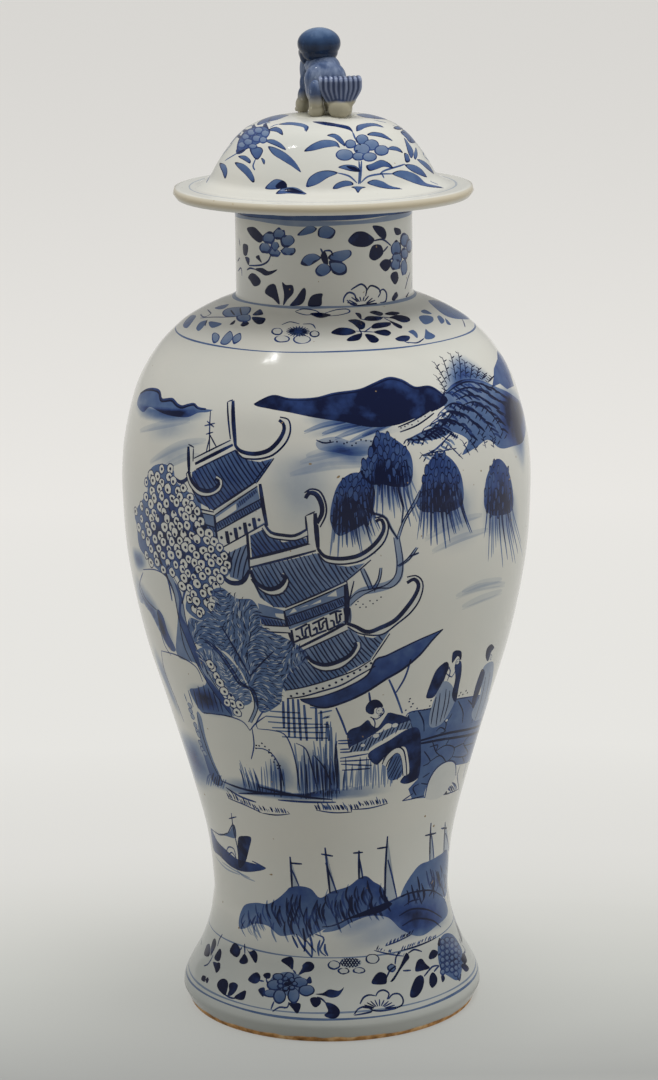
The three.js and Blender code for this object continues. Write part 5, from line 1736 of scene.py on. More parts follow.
FOOT_LINES = (
    ((204, 965.5), (207.5, 964.5), (211, 959.5), (213, 955)), ((217.5, 946), (219.5, 939), (222.5, 934)),
    ((240, 950), (242, 947)), ((293, 970), (296, 973.5)), ((259, 980.5), (264, 981)),
    ((266, 979), (268, 984)), ((244.5, 944), (244.8, 954)), ((271, 1009), (274, 1001.5)),
    ((272.5, 1011.5), (279.5, 1007), (287, 1007.5), (289, 1002)), ((317, 997), (322, 999), (326, 1003)),
    ((395, 964), (396, 957), (399, 952.5)), ((408, 953), (414.5, 950), (422, 952)),
    ((403, 971), (411, 970.5)), ((386.5, 978), (390, 970), (396, 966)),
    ((424, 976), (432, 967), (439, 965.5)), ((434, 972), (437, 968), (439, 966)),
    ((360, 1004), (363.5, 997.5), (369, 995), (375, 996)),
    ((375.5, 996), (378.5, 991.5), (384, 990), (389, 993.5), (387, 999.5)),
    ((388.5, 999.5), (392.5, 994.5), (399, 994), (403, 999), (402, 1005), (395, 1008.5)),
    ((354, 1015), (358, 1009), (365.5, 1006.5), (373, 1010.5), (366, 1013), (354, 1015)),
    ((457, 974), (459, 981), (461, 974)), ((201, 945), (202, 938)), ((224, 994), (231, 998), (236, 998)),
    ((438, 955), (442, 953)), ((462, 945), (465, 950), (462, 955)), ((459, 938), (461, 944)),
    ((372, 1010.5), (380, 1011), (396, 1008.5)),
)
# Stamens: hub, then half width and half height of the fan and the number of hairs
FANS = (((379.5, 1009), 17, 9.5, 11), ((362, 304.5), 15, 9, 10))
SEED_HEAD = ((350.5, 962.5), 11, 5)
ROSE = (287, 984)
GRAPES = ((442.5, 942), (447, 940), (452, 940), (456, 944))
GRAPE_GROUND = (
    (438, 944), (445, 934), (454, 936), (462, 950), (462, 968), (458, 980), (448, 976), (440, 968),
)


def oval(x, y, half_width, half_height, corners=12):
    """Points round an oval in pixels."""
    turns = [FULL_TURN * i / corners for i in range(corners)]
    return [(x + half_width * math.cos(turn), y + half_height * math.sin(turn)) for turn in turns]


# Pixels of dark edge for each mm asked for
EDGE_PIXELS = 2.8


def rimmed(pen, points, fill=0.42, width=0.5, ink=0.85, keep=0.0):
    """A shape with a dark edge about thinner ink, the edge widest below and at the shape's ends."""
    pen.wash(points, ink, 0, keep)
    outline = np.array(points, float)
    middle = outline.mean(0)
    edge = width * EDGE_PIXELS
    share = 1 - edge / np.linalg.norm(outline - middle, axis=1).mean()
    inner = middle + (outline - middle) * share + (edge * 0.15, -edge * 0.25)
    pen.wash(inner, fill, 0.08 if fill > 0.1 else 0, 0)


def veins(pen, points, ink=0.75):
    """A few strokes across a petal mass."""
    middle = np.array(points).mean(0)
    for corner in points[::2]:
        start = middle + (np.array(corner) - middle) * 0.2
        end = middle + (np.array(corner) - middle) * 0.85
        pen.line([tuple(start), tuple((start + end) / 2 + (0.8, -0.6)), tuple(end)], 0.4, ink, 0.3)


def fan(pen, hub, half_width, half_height, hairs, low=10, high=170):
    for i in range(hairs):
        turn = math.radians(low + (high - low) * i / (hairs - 1))
        tip = hub[0] + half_width * math.cos(turn), hub[1] - half_height * math.sin(turn)
        root = hub[0] + half_width * 0.35 * math.cos(turn), hub[1] - half_height * 0.3 * math.sin(turn)
        pen.line([root, tip], 0.45, 0.85, 0.5)


def paint_cover_sprays(pen):
    for points in COVER_LEAVES:
        rimmed(pen, points, 0.56, 0.42, 0.86)
    for points in COVER_DARK:
        pen.wash(points, 0.85)
    for points in COVER_PEONIES:
        rimmed(pen, points, 0.6, 0.4, 0.85)
        veins(pen, points)
    for petal in COVER_PETALS:
        rimmed(pen, oval(*petal), 0.4, 0.4, 0.75)
    dots(pen, [(360, 144.5), (357, 151)], 0.9)
    pen.lines(COVER_STEMS, 0.6, 0.6, 0.4)


def paint_neck_sprays(pen):
    for points in NECK_DARK:
        pen.wash(points, 1)
    for x, y, half_width, half_height in NECK_PETALS:
        rimmed(pen, oval(x, y, half_width * 1.15, half_height * 1.15), 0.45, 0.5, 0.85)
    for points in BUTTERFLY_WINGS:
        rimmed(pen, points, 0.48, 0.55, 0.88)
    pen.lines(NECK_LINES, 0.6, 0.85, 0.5)
    hub, *rest = FANS[1]
    fan(pen, hub, *rest)


def paint_shoulder_sprays(pen):
    for points in SHOULDER_GREY:
        pen.wash(points, 0.55)
    for points in SHOULDER_DARK:
        pen.wash(points, 0.95)
    for points in SHOULDER_PETALS:
        rimmed(pen, points, 0.36, 0.4, 0.75)
    for petal in SHOULDER_RINGS:
        rimmed(pen, oval(*petal), 0.03, 0.45, 0.8)
    pen.lines(SHOULDER_LINES, 0.5, 0.78, 0.5)
    hub, half_width, half_height, hairs = ASTER
    fan(pen, hub, half_width, half_height, hairs, 0, 345)
    pen.wash(oval(*hub, half_width * 0.75, half_height * 0.75), 0.5)
    pen.wash(oval(*hub, half_width * 0.35, half_height * 0.35), 0.4)


def paint_foot_sprays(pen):
    for points in FOOT_DARK:
        pen.wash(points, 0.96)
    pen.wash(oval(*ROSE, 18, 12), 0.4)
    for petal in FOOT_PETALS:
        rimmed(pen, oval(*petal), 0.46, 0.5, 0.88)
    for x, y in oval(*ROSE, 7.5, 5, 7):
        rimmed(pen, oval(x, y, 3.6, 2.8, 8), 0.46, 0.5, 0.88)
    pen.wash(oval(*ROSE, 3.2, 2.4, 8), 0.9)
    for petal in FOOT_RINGS:
        rimmed(pen, oval(*petal), 0.03, 0.5, 0.85)
    pen.lines(FOOT_LINES, 0.6, 0.82, 0.5)
    dots(pen, [(290, 983.5)], 1.4)
    hub, *rest = FANS[0]
    fan(pen, hub, *rest)
    hub, half_width, half_height = SEED_HEAD
    pen.wash(oval(*hub, half_width, half_height), 0.12)
    for lean in (0.7, -0.7):
        hatch(pen, oval(*hub, half_width, half_height), lean, 3.0, 0.4, 0.8)
    pen.wash(GRAPE_GROUND, 0.5)
    for x, y in GRAPES:
        for row in range(6):
            rimmed(pen, oval(x, y + 6 * row, 2.8, 3.3, 8), 0.4, 0.4, 0.8)
    for row in range(3):
        rimmed(pen, oval(459, 952 + 7 * row, 1.6, 3.4, 8), 0.4, 0.35, 0.8)


# The painting

# Turned lines: height in mm, width in mm and how much ink. The soft grey band at 309.3 mm, where the neck
# meets the shoulder, is a painted shadow line along that joint.
VASE_RINGS = (
    (10.8, 0.9, 0.45), (13.0, 0.7, 0.28), (34, 0.6, 0.36), (295.4, 0.7, 0.55), (309.3, 1.4, 0.32),
    (346.0, 2.2, 0.6), (343.9, 2.0, 0.28),
)


# The side that the photograph doesn't show has the same scene again, mirrored and a little smaller
BACK = 180.0


def paint_vase():
    painting = Painting(VASE)
    for height, width, ink in VASE_RINGS:
        ring(painting, height, width, ink)
    for pen in (Pen(painting, BACK, scale=0.92, mirror=True, steps=3, wide=1.28), Pen(painting)):
        paint_hills(pen)
        paint_mound(pen)
        paint_willows(pen)
        paint_tower(pen)
        paint_terrace(pen)
        paint_grove(pen)
        paint_bank(pen)
        paint_bridge(pen)
        paint_figures(pen)
        paint_boat(pen)
        paint_island(pen)
        paint_shoulder_sprays(pen)
        paint_neck_sprays(pen)
        paint_foot_sprays(pen)
    return painting


def paint_cover():
    painting = Painting(COVER)
    ring(painting, FLANGE_TOP, 0.8, 0.16, radius=55.5)
    paint_cover_sprays(Pen(painting, BACK))
    paint_cover_sprays(Pen(painting))
    return painting


# Turned pieces with their paint


def chart_rows(outline, spacing, coarse):
    """Chart lengths of the rows of points, each with True where it is a corner and with its step. Rows are
    evenly spaced between corners, and wider apart where nothing is painted."""
    rows = []
    for low, high in zip(outline.corners()[:-1], outline.corners()[1:]):
        step = spacing if outline.painted((low + high) / 2) else coarse
        count = max(1, math.ceil((high - low) / step))
        rows += [(low + (high - low) * i / count, i == 0, step) for i in range(count)]
    return rows + [(outline.length, True, step)]


def paint_chart(outline, painting, spacing):
    """Cuts the painted shapes into the outline's flat chart. Gives its points, triangles and their cobalt."""
    verts, edges, faces, laid, ends = [], [], [], [], None
    for number, (q, corner, step) in enumerate(chart_rows(outline, spacing, spacing * 3)):
        first = len(verts)
        around = math.ceil(FULL_TURN / (spacing if corner else step))
        turns = np.linspace(-math.pi, math.pi, around + 1)
        if not corner and number % 2:
            turns = np.concatenate([turns[:1], (turns[:-1] + turns[1:]) / 2, turns[-1:]])
        verts += [(turn, q) for turn in turns]
        if corner:
            edges += [(i, i + 1) for i in range(first, len(verts) - 1)]
        if ends:
            edges += [(ends[0], first), (ends[1], len(verts) - 1)]
        ends = (first, len(verts) - 1)
    shift = outline.start - outline.low
    for shape in painting.shapes if painting else ():
        if shape.high < outline.low or shape.low > outline.high:
            continue
        points = clipped(shape.outline, outline.low, outline.high)
        if points is None:
            continue
        for turn in (-FULL_TURN, 0, FULL_TURN):
            moved = points + [turn, shift]
            if moved[:, 0].max() > -math.pi and moved[:, 0].min() < math.pi:
                faces.append(list(range(len(verts), len(verts) + len(points))))
                verts += moved.tolist()
                laid.append((shape, np.array([turn, shift])))
    points, _, tris, _, _, origins = delaunay_2d_cdt([Vector(v) for v in verts], edges, faces, 0, 1e-6, True)
    points, tris = np.array([tuple(p) for p in points]), np.array(tris)
    middle = points[tris].mean(1)
    inside = (np.abs(middle[:, 0]) < math.pi) & (middle[:, 1] > 0) & (middle[:, 1] < outline.length)
    under = [[] for _ in laid]
    for number, origin in enumerate(origin for origin, kept in zip(origins, inside) if kept):
        for layer in origin:
            under[layer].append(number)
    tris, middle = tris[inside], middle[inside]
    cobalt = np.zeros((len(tris), 3))
    for (shape, moved), here in zip(laid, under):
        if here:
            cobalt[here] = cobalt[here] * shape.keep + shape.strength(points[tris[here]] - moved)
    cobalt[~outline.painted(middle[:, 1])] = 0
    return points, tris, middle, np.clip(cobalt, 0, 1)


def welded(points, outline):
    """For each chart point the point that it lands on when the chart is rolled up."""
    target = np.arange(len(points))
    pairs = [(0, math.pi, 1)] + ([(1, outline.length, 0)] if outline.closed else [])
    for axis, far, other in pairs:
        near = -math.pi if axis == 0 else 0.0
        ends = np.flatnonzero(np.abs(points[:, axis] - far) < CHART_CLOSE)
        starts = np.flatnonzero(np.abs(points[:, axis] - near) < CHART_CLOSE)
        starts = starts[points[starts, other].argsort()]
        place = points[starts, other]
        right = np.clip(np.searchsorted(place, points[ends, other]), 1, len(place) - 1)
        left = right - 1
        nearer = np.where(points[ends, other] - place[left] < place[right] - points[ends, other], left, right)
        target[ends] = starts[nearer]
    return target[target]


def turned_piece(name, outline, painting, spacing, strips):
    """A closed turned piece, any paint on it cut into its skin."""
    points, tris, middle, cobalt = paint_chart(outline, painting, spacing)
    order = welded(points, outline)[tris]
    whole = (order[:, 0] != order[:, 1]) & (order[:, 1] != order[:, 2]) & (order[:, 2] != order[:, 0])
    order, tris, middle, cobalt = order[whole], tris[whole], middle[whole], cobalt[whole]
    radius, height = outline.place(points[:, 1])
    places = np.stack([radius * np.sin(points[:, 0]), -radius * np.cos(points[:, 0]), height], 1)
    angle, q = points[tris][:, :, 0].ravel(), points[tris][:, :, 1].ravel()
    middle_angle, middle_q = np.repeat(middle, 3, axis=0).T
    radial, upward = outline.outward(q, middle_q)
    normals = np.stack([radial * np.sin(angle), -radial * np.cos(angle), upward], 1)
    uv = outline.bake_layout(angle, q, middle_angle, middle_q, strips)
    triangles, cobalt = order.tolist(), cobalt.ravel()
    if not outline.closed:
        for end in (0.0, outline.length):
            rim = np.flatnonzero(np.abs(points[:, 1] - end) < CHART_CLOSE)
            rim = rim[points[rim, 0].argsort()][:-1]
            upward_end = outline.outward(np.array([end]), np.array([end]))[1][0]
            pole = len(places)
            places = np.vstack([places, [0, 0, places[rim[0], 2]]])
            for a, b in zip(rim, np.roll(rim, -1)):
                triangles.append([a, b, pole] if upward_end > 0 else [b, a, pole])
            extra = len(rim) * 3
            normals = np.vstack([normals, np.tile([0, 0, math.copysign(1, upward_end)], (extra, 1))])
            uv = np.vstack([uv, np.tile([0.0, 0.995], (extra, 1))])
            cobalt = np.concatenate([cobalt, np.zeros(extra)])
    used, index = np.unique(np.array(triangles), return_inverse=True)
    mesh = bpy.data.meshes.new(name)
    mesh.from_pydata((places[used] * MM).tolist(), [], index.reshape(-1, 3).tolist())
    mesh.attributes.new("cobalt", "FLOAT", "CORNER").data.foreach_set("value", cobalt.astype(np.float32))
    mesh.uv_layers.new(name="OFBake").data.foreach_set("uv", uv.astype(np.float32).ravel())
    mesh.polygons.foreach_set("use_smooth", [True] * len(mesh.polygons))
    mesh.normals_split_custom_set(normals.tolist())
    return linked(bpy.data.objects.new(name, mesh))


def linked(piece):
    bpy.context.scene.collection.objects.link(piece)
    return piece


def foot_outline():
    ring_inside = FOOT_RIM_RADIUS - FOOT_RING
    top = VASE.q_at_height(WAIST_HEIGHT)
    outer_q, outer = VASE.cut(0.0, top)
    wall = inset(outer, WALL)[::-1]
    wall = wall[wall[:, 1] > FLOOR_TOP + FLOOR_COVE]
    cove = (wall[-1][0] - FLOOR_COVE, FLOOR_TOP + FLOOR_COVE)
    floor = straight((cove[0] - 0.5, FLOOR_TOP), (POLE_RADIUS, FLOOR_TOP))
    return Outline(
        before=[
            straight((POLE_RADIUS, FOOT_RECESS), (ring_inside - RECESS_TAPER, FOOT_RECESS)),
            straight((ring_inside - RECESS_TAPER, FOOT_RECESS), (ring_inside, 0)),
            straight((ring_inside, 0), (FOOT_RIM_RADIUS, 0)),
        ],
        painted=(outer_q, outer),
        after=[
            straight(outer[-1], wall[0]),
            np.vstack([wall[:-1], arc(cove, FLOOR_COVE, 0, -90), floor]),
        ],
        closed=False,
    )


def body_outline(low, high):
    """A hollow section of the vase between two heights."""
    outer_q, outer = VASE.between(low, high)
    wall = inset(outer, WALL)
    wall = wall[(wall[:, 1] > low) & (wall[:, 1] < high)]
    inner = np.vstack([(wall[0][0], low), wall, (max(wall[-1][0], NECK_RADIUS - WALL), high)])[::-1]
    return Outline(
        before=[straight(inner[-1], outer[0])],
        painted=(outer_q, outer),
        after=[straight(outer[-1], inner[0]), inner],
        closed=True,
    )


def neck_outline():
    outer_q, outer = VASE.between(NECK_JOINT, VASE_HEIGHT - LIP_ROUND)
    bore = NECK_RADIUS - WALL
    lip_height = VASE_HEIGHT - LIP_ROUND
    return Outline(
        before=[straight((bore, NECK_JOINT), outer[0])],
        painted=(outer_q, outer),
        after=[np.vstack([
            arc((NECK_RADIUS - LIP_ROUND, lip_height), LIP_ROUND, 0, 90),
            arc((bore + LIP_ROUND, lip_height), LIP_ROUND, 90, 180)[1:],
            straight((bore, lip_height - 1), (bore, NECK_JOINT)),
        ])],
        closed=True,
    )


def cover_outline():
    hollow = inset(DOME_CURVE, DOME_WALL)[::-1]
    sleeve_inside = SLEEVE_RADIUS - SLEEVE_WALL
    hollow = hollow[(hollow[:, 0] > DOME_FLAT) & (hollow[:, 1] > FLANGE_TOP)]
    ceiling = straight((POLE_RADIUS, hollow[0][1]), hollow[0])[:-1]
    start, end = COVER.q[0], COVER.q[-1]
    painted_q, painted = COVER.cut(start, end)
    return Outline(
        before=[
            np.vstack([ceiling, hollow, [(sleeve_inside, FLANGE_TOP)]]),
            straight((sleeve_inside, FLANGE_TOP), (sleeve_inside, FLANGE_SEAT)),
            straight((sleeve_inside, FLANGE_SEAT), (FLANGE_EDGE, FLANGE_SEAT)),
        ],
        painted=(painted_q, painted),
        after=[straight(painted[-1], (POLE_RADIUS, DOME_TOP))],
        closed=False,
    )


def sleeve_outline():
    inside = SLEEVE_RADIUS - SLEEVE_WALL
    outer = np.vstack([
        straight((SLEEVE_RADIUS - 0.7, SLEEVE_BOTTOM), (SLEEVE_RADIUS, SLEEVE_BOTTOM + 8)),
        straight((SLEEVE_RADIUS, SLEEVE_BOTTOM + 9), (SLEEVE_RADIUS, FLANGE_SEAT)),
    ])
    return Outline(
        before=[straight((inside, SLEEVE_BOTTOM), outer[0])],
        painted=(chart_lengths(outer), outer),
        after=[
            straight(outer[-1], (inside, FLANGE_SEAT)),
            straight((inside, FLANGE_SEAT), (inside, SLEEVE_BOTTOM)),
        ],
        closed=True,
    )


def finish_piece(piece, material, body, slot, *nodes):
    piece.data.materials.clear()
    piece.data.materials.append(material)
    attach(piece, body)
    if nodes:
        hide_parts(*nodes)


# The lion on the cover, hand-built. Its own frame looks along +Y and stands on z = 0, in mm.

LION_TURN = 22.0
LION_SHIFT = 0.5
LION_BASE = bottom_of("lion_foreleg_left")
PLINTH_TOP = top_of("finial_plinth") - LION_BASE
PLINTH_SIZE = (27.0, 31.0, 2.8)

# Each lump of clay: where its middle is, and its width, length and height
TORSO_LUMPS = (
    ((0, 3.4, 19.4), (13.6, 12.4, 12.6)),
    ((0, 4.4, 11.0), (13.0, 10.0, 15.0)),
    ((-0.3, -3.0, 13.6), (18.2, 13.6, 15.8)),
    ((0.2, -0.4, 17.6), (14.4, 12.4, 12.4)),
    ((-5.2, -3.6, 10.0), (7.4, 11.6, 13.0)),
    ((5.2, -3.6, 10.0), (7.4, 11.6, 13.0)),
)
MANE_LUMPS = (
    ((-0.6, 2.8, 27.7), (18.2, 17.0, 13.4)),
    ((-0.5, 2.2, 24.2), (15.4, 13.0, 9.6)),
    ((-6.0, 4.6, 23.2), (4.8, 6.0, 8.2)),
    ((5.6, 4.6, 23.4), (4.4, 6.0, 7.4)),
)
FACE_LUMPS = (
    ((0, 8.4, 23.8), (14.6, 11.4, 11.6)),
    ((0, 12.4, 22.0), (8.4, 6.6, 5.4)),
    ((-2.3, 13.2, 21.4), (4.2, 4.0, 3.8)),
    ((2.3, 13.2, 21.4), (4.2, 4.0, 3.8)),
    ((0, 12.6, 18.9), (6.0, 4.6, 2.4)),
    ((0, 14.6, 23.4), (2.8, 1.8, 2.0)),
    ((-3.4, 12.4, 26.6), (4.4, 2.6, 1.8)),
    ((3.4, 12.4, 26.6), (4.4, 2.6, 1.8)),
    ((-3.3, 12.4, 24.9), (2.3, 2.0, 2.1)),
    ((3.3, 12.4, 24.9), (2.3, 2.0, 2.1)),
    ((-6.2, 8.6, 27.4), (2.8, 2.4, 3.8)),
    ((6.2, 8.6, 27.4), (2.8, 2.4, 3.8)),
)
# Legs as the left one, with its outer side at -x
FORELEG_LUMPS = (
    ((0.9, 0.0, 17.0), (4.2, 5.2, 12.0)), ((0.8, 0.0, 11.0), (4.2, 4.8, 10.0)),
    ((0.2, 0.2, 5.6), (4.8, 5.2, 8.8)), ((0, 0.8, 2.2), (5.8, 6.4, 8.0)), ((-1.5, 3.6, 0.3), (1.7, 1.8, 2.2)),
    ((0, 3.9, 0.4), (1.8, 2.0, 2.4)), ((1.5, 3.6, 0.3), (1.7, 1.8, 2.2)),
)
HINDLEG_LUMPS = (
    ((-0.2, -0.2, 9.4), (6.2, 6.2, 9.2)), ((0, 0, 5.0), (6.2, 6.0, 10.0)), ((0.4, 0.4, 1.6), (7.0, 6.4, 7.4)),
    ((-1.3, 3.6, 0.2), (1.7, 1.8, 2.2)), ((0, 3.9, 0.3), (1.8, 2.0, 2.4)), ((1.3, 3.6, 0.2), (1.7, 1.8, 2.2)),
)
FORELEG_PLACE = (5.9, 8.0)
HINDLEG_PLACE = (6.5, -8.0)

# The tail stands up behind as a comb
TAIL_PLACE = (2.6, -12.0)
TAIL_TURN = -15.0
TAIL_CORE = (
    ((0, 0.6, 10.4), (16.6, 5.0, 9.4)), ((0, 0.6, 6.2), (13.6, 4.8, 9.4)),
    ((-0.5, -0.8, 2.4), (9.4, 7.0, 9.4)),
)
TAIL_RIBS = 9
TAIL_WIDTH = 15.8
TAIL_HEIGHT = 14.4
TAIL_RIB = 1.12
TAIL_CROWN = 2.2

# The clay's grain in mm, and how often a wet finger rubs it
CLAY_GRAIN = 0.32
CLAY_RUBS = 5

# Heights over the lion's feet between which painted light changes its wash towards the crown, lightest on top
# of the mane where light falls from above
CROWN_LIGHT_HEIGHTS = (27, 35)


def clay_lumps(lumps):
    """A mesh of overlapping ellipsoids in mm."""
    form = bmesh.new()
    for middle, size in lumps:
        matrix = Matrix.Translation(middle) @ Matrix.Diagonal((*(side / 2 for side in size), 1))
        bmesh.ops.create_uvsphere(form, u_segments=32, v_segments=20, radius=1, matrix=matrix)
    mesh = bpy.data.meshes.new("clay")
    form.to_mesh(mesh)
    form.free()
    return mesh


def modelled(name, mesh):
    """Fuses a mesh's lumps into one skin, rubbed smooth with a wet finger, and stands it on the cover."""
    clay = linked(bpy.data.objects.new(name, mesh))
    fuse = clay.modifiers.new("fuse", "REMESH")
    fuse.mode = "VOXEL"
    fuse.voxel_size = CLAY_GRAIN
    rub = clay.modifiers.new("rub", "SMOOTH")
    rub.factor = 0.6
    rub.iterations = CLAY_RUBS
    done = bpy.data.meshes.new_from_object(clay.evaluated_get(bpy.context.evaluated_depsgraph_get()))
    bpy.data.objects.remove(clay)
    turn = Matrix.Rotation(math.radians(LION_TURN), 4, "Z")
    done.transform(Matrix.Translation((LION_SHIFT * MM, 0, LION_BASE * MM)) @ turn @ Matrix.Scale(MM, 4))
    done.polygons.foreach_set("use_smooth", [True] * len(done.polygons))
    done.name = name
    return linked(bpy.data.objects.new(name, done))


def leg_lumps(lumps, place, side):
    """A leg's lumps at its place, with side -1 for the left leg and 1 for the right."""
    return [((-side * x + side * place[0], y + place[1], z), size) for (x, y, z), size in lumps]


def comb_tree():
    """Geometry nodes for the tail's ribs: strands side by side that spread as they rise and roll forward."""
    tree = bpy.data.node_groups.new("comb_ribs", "GeometryNodeTree")
    for name, kind, value in (
        ("Ribs", "NodeSocketInt", TAIL_RIBS), ("Width", "NodeSocketFloat", TAIL_WIDTH),
        ("Height", "NodeSocketFloat", TAIL_HEIGHT), ("Rib radius", "NodeSocketFloat", TAIL_RIB),
        ("Crown", "NodeSocketFloat", TAIL_CROWN), ("Material", "NodeSocketMaterial", None),
    ):
        socket = tree.interface.new_socket(name, in_out="INPUT", socket_type=kind)
        if value is not None:
            socket.default_value = value
    tree.interface.new_socket("Geometry", in_out="OUTPUT", socket_type="NodeSocketGeometry")
    group = tree.nodes.new("NodeGroupInput").outputs
    last = add(tree, "ShaderNodeMath", {0: group["Ribs"], 1: 1.0}, operation="SUBTRACT")
    step = add(tree, "ShaderNodeMath", {0: 2.0, 1: last}, operation="DIVIDE")
    offset = add(tree, "ShaderNodeCombineXYZ", {"X": step})
    places = add(tree, "GeometryNodeMeshLine", {
        "Count": group["Ribs"], "Start Location": (-1, 0, 0), "Offset": offset}, mode="OFFSET")
    strand = add(tree, "GeometryNodeCurvePrimitiveLine", {"Start": (0, 0, 0), "End": (0, 0, 1)})
    fine = add(tree, "GeometryNodeResampleCurve", {"Curve": strand, "Count": 18})
    combed = add(tree, "GeometryNodeInstanceOnPoints", {"Points": places, "Instance": fine})
    loose = add(tree, "GeometryNodeRealizeInstances", {"Geometry": combed})
    spot = tree.nodes.new("ShaderNodeSeparateXYZ")
    tree.links.new(add(tree, "GeometryNodeInputPosition"), spot.inputs[0])
    side, rise = spot.outputs["X"], spot.outputs["Z"]
    spread = add(tree, "ShaderNodeMapRange", {
        "Value": rise, "From Min": 0.05, "From Max": 0.5, "To Min": 0.22, "To Max": 0.5},
        interpolation_type="SMOOTHSTEP")
    wide = add(tree, "ShaderNodeMath", {0: spread, 1: group["Width"]}, operation="MULTIPLY")
    x = add(tree, "ShaderNodeMath", {0: wide, 1: side}, operation="MULTIPLY")
    bow = add(tree, "ShaderNodeMath", {0: side, 1: side}, operation="MULTIPLY")
    roll = add(tree, "ShaderNodeMapRange", {
        "Value": rise, "From Min": 0.72, "From Max": 1.0, "To Min": -1.0, "To Max": 0.9},
        interpolation_type="SMOOTHSTEP")
    depth = add(tree, "ShaderNodeMath", {0: bow, 1: 0.7, 2: roll}, operation="MULTIPLY_ADD")
    y = add(tree, "ShaderNodeMath", {0: depth, 1: group["Crown"]}, operation="MULTIPLY")
    bend = add(tree, "ShaderNodeMath", {0: rise, 1: 1.72}, operation="MULTIPLY")
    climb = add(tree, "ShaderNodeMath", {0: bend}, operation="SINE")
    z = add(tree, "ShaderNodeMath", {0: climb, 1: group["Height"]}, operation="MULTIPLY")
    place = add(tree, "ShaderNodeCombineXYZ", {"X": x, "Y": y, "Z": z})
    spreading = add(tree, "GeometryNodeSetPosition", {"Geometry": loose, "Position": place})
    section = add(tree, "GeometryNodeCurvePrimitiveCircle", {"Resolution": 12, "Radius": group["Rib radius"]})
    ribs = add(tree, "GeometryNodeCurveToMesh", {
        "Curve": spreading, "Profile Curve": section, "Fill Caps": True})
    whole = add(tree, "GeometryNodeRealizeInstances", {"Geometry": ribs})
    glazed = add(tree, "GeometryNodeSetMaterial", {"Geometry": whole, "Material": group["Material"]})
    tree.links.new(glazed, tree.nodes.new("NodeGroupOutput").inputs["Geometry"])
    return tree


def comb_ribs(material):
    """The tail's ribs as a plain mesh in mm."""
    carrier = linked(bpy.data.objects.new("comb", bpy.data.meshes.new("comb")))
    tree = comb_tree()
    modifier = carrier.modifiers.new("comb", "NODES")
    modifier.node_group = tree
    socket = next(item for item in tree.interface.items_tree if item.name == "Material")
    modifier[socket.identifier] = material
    mesh = bpy.data.meshes.new_from_object(carrier.evaluated_get(bpy.context.evaluated_depsgraph_get()))
    bpy.data.objects.remove(carrier)
    return mesh


def tail_mesh(material):
    """Core and ribs of the tail in the lion's frame."""
    form = bmesh.new()
    form.from_mesh(clay_lumps(TAIL_CORE))
    form.from_mesh(comb_ribs(material))
    turn = Matrix.Rotation(math.radians(TAIL_TURN), 4, "Z")
    form.transform(Matrix.Translation((*TAIL_PLACE, 0)) @ turn)
    mesh = bpy.data.meshes.new("tail")
    form.to_mesh(mesh)
    form.free()
    return mesh


def lion_glaze(name, inks, ridge, streak, crown, bare_height, blend=2.0):
    """Porcelain clay washed in cobalt under the same clear glaze: blue lies dark in hollows, where cobalt
    gathers and painted shade darkens the creases, and thins to grey on ridges; painted light shifts it
    towards the crown, lightest on top of the mane where light falls from above; and the wash stops short of
    the feet, where warm clay shows, painted darker in its creases."""
    material, tree, shader, place = new_material(name)
    stretch = add(tree, "ShaderNodeMapping", {"Vector": place, "Scale": (1, 1, 0.4)})
    streaks = add(tree, "ShaderNodeTexNoise", {"Vector": stretch, "Scale": per_metre(3.4), "Detail": 4})
    points = add(tree, "ShaderNodeNewGeometry", output="Pointiness")
    # Ridges lighter and hollows darker: cobalt gathers in the hollows, and painted shade darkens the creases
    # as well
    ridges_and_crease_shade = add(tree, "ShaderNodeMapRange", {"Value": points, "From Min": 0.45, "From Max": 0.58})
    height = add(tree, "ShaderNodeSeparateXYZ", {0: place}, "Z")
    # Painted light: the wash's tone shifts with height by the crown amount, lightest on top of the mane
    climb = add(tree, "ShaderNodeMapRange", {
        "Value": height, "From Min": (LION_BASE + CROWN_LIGHT_HEIGHTS[0]) * MM,
        "From Max": (LION_BASE + CROWN_LIGHT_HEIGHTS[1]) * MM, "To Max": crown})
    lifted = add(tree, "ShaderNodeMath", {0: ridges_and_crease_shade, 1: ridge, 2: climb}, operation="MULTIPLY_ADD")
    tone = add(tree, "ShaderNodeMath", {0: streaks, 1: streak, 2: lifted}, operation="MULTIPLY_ADD")
    washed = add(tree, "ShaderNodeValToRGB", {"Fac": tone}, stops=tuple(zip((0.1, 0.45, 0.9), inks)))
    drips = add(tree, "ShaderNodeTexNoise", {"Vector": place, "Scale": per_metre(5)})
    edge = add(tree, "ShaderNodeMath", {0: drips, 1: 2 * MM, 2: height}, operation="MULTIPLY_ADD")
    bottom = (LION_BASE + bare_height) * MM
    blue = add(tree, "ShaderNodeMapRange", {
        "Value": edge, "From Min": bottom, "From Max": bottom + blend * MM})
    # Painted shade: the bare clay darker in its creases
    clay = add(tree, "ShaderNodeMix", {0: ridges_and_crease_shade, 6: "#7c7764", 7: "#b5af9a"}, 2, data_type="RGBA")
    colour = add(tree, "ShaderNodeMix", {0: blue, 6: clay, 7: washed}, 2, data_type="RGBA")
    tree.links.new(colour, shader.inputs["Base Color"])
    shader.inputs["Roughness"].default_value = 0.12
    shader.inputs["IOR"].default_value = GLAZE_IOR
    shader.inputs["Specular IOR Level"].default_value = GLAZE_MIRROR
    dimples = add(tree, "ShaderNodeTexNoise", {"Vector": place, "Scale": per_metre(1.6), "Detail": 2})
    bumps = add(tree, "ShaderNodeBump", {"Height": dimples, "Strength": 0.25, "Distance": 0.12 * MM})
    tree.links.new(bumps, shader.inputs["Normal"])
    return material


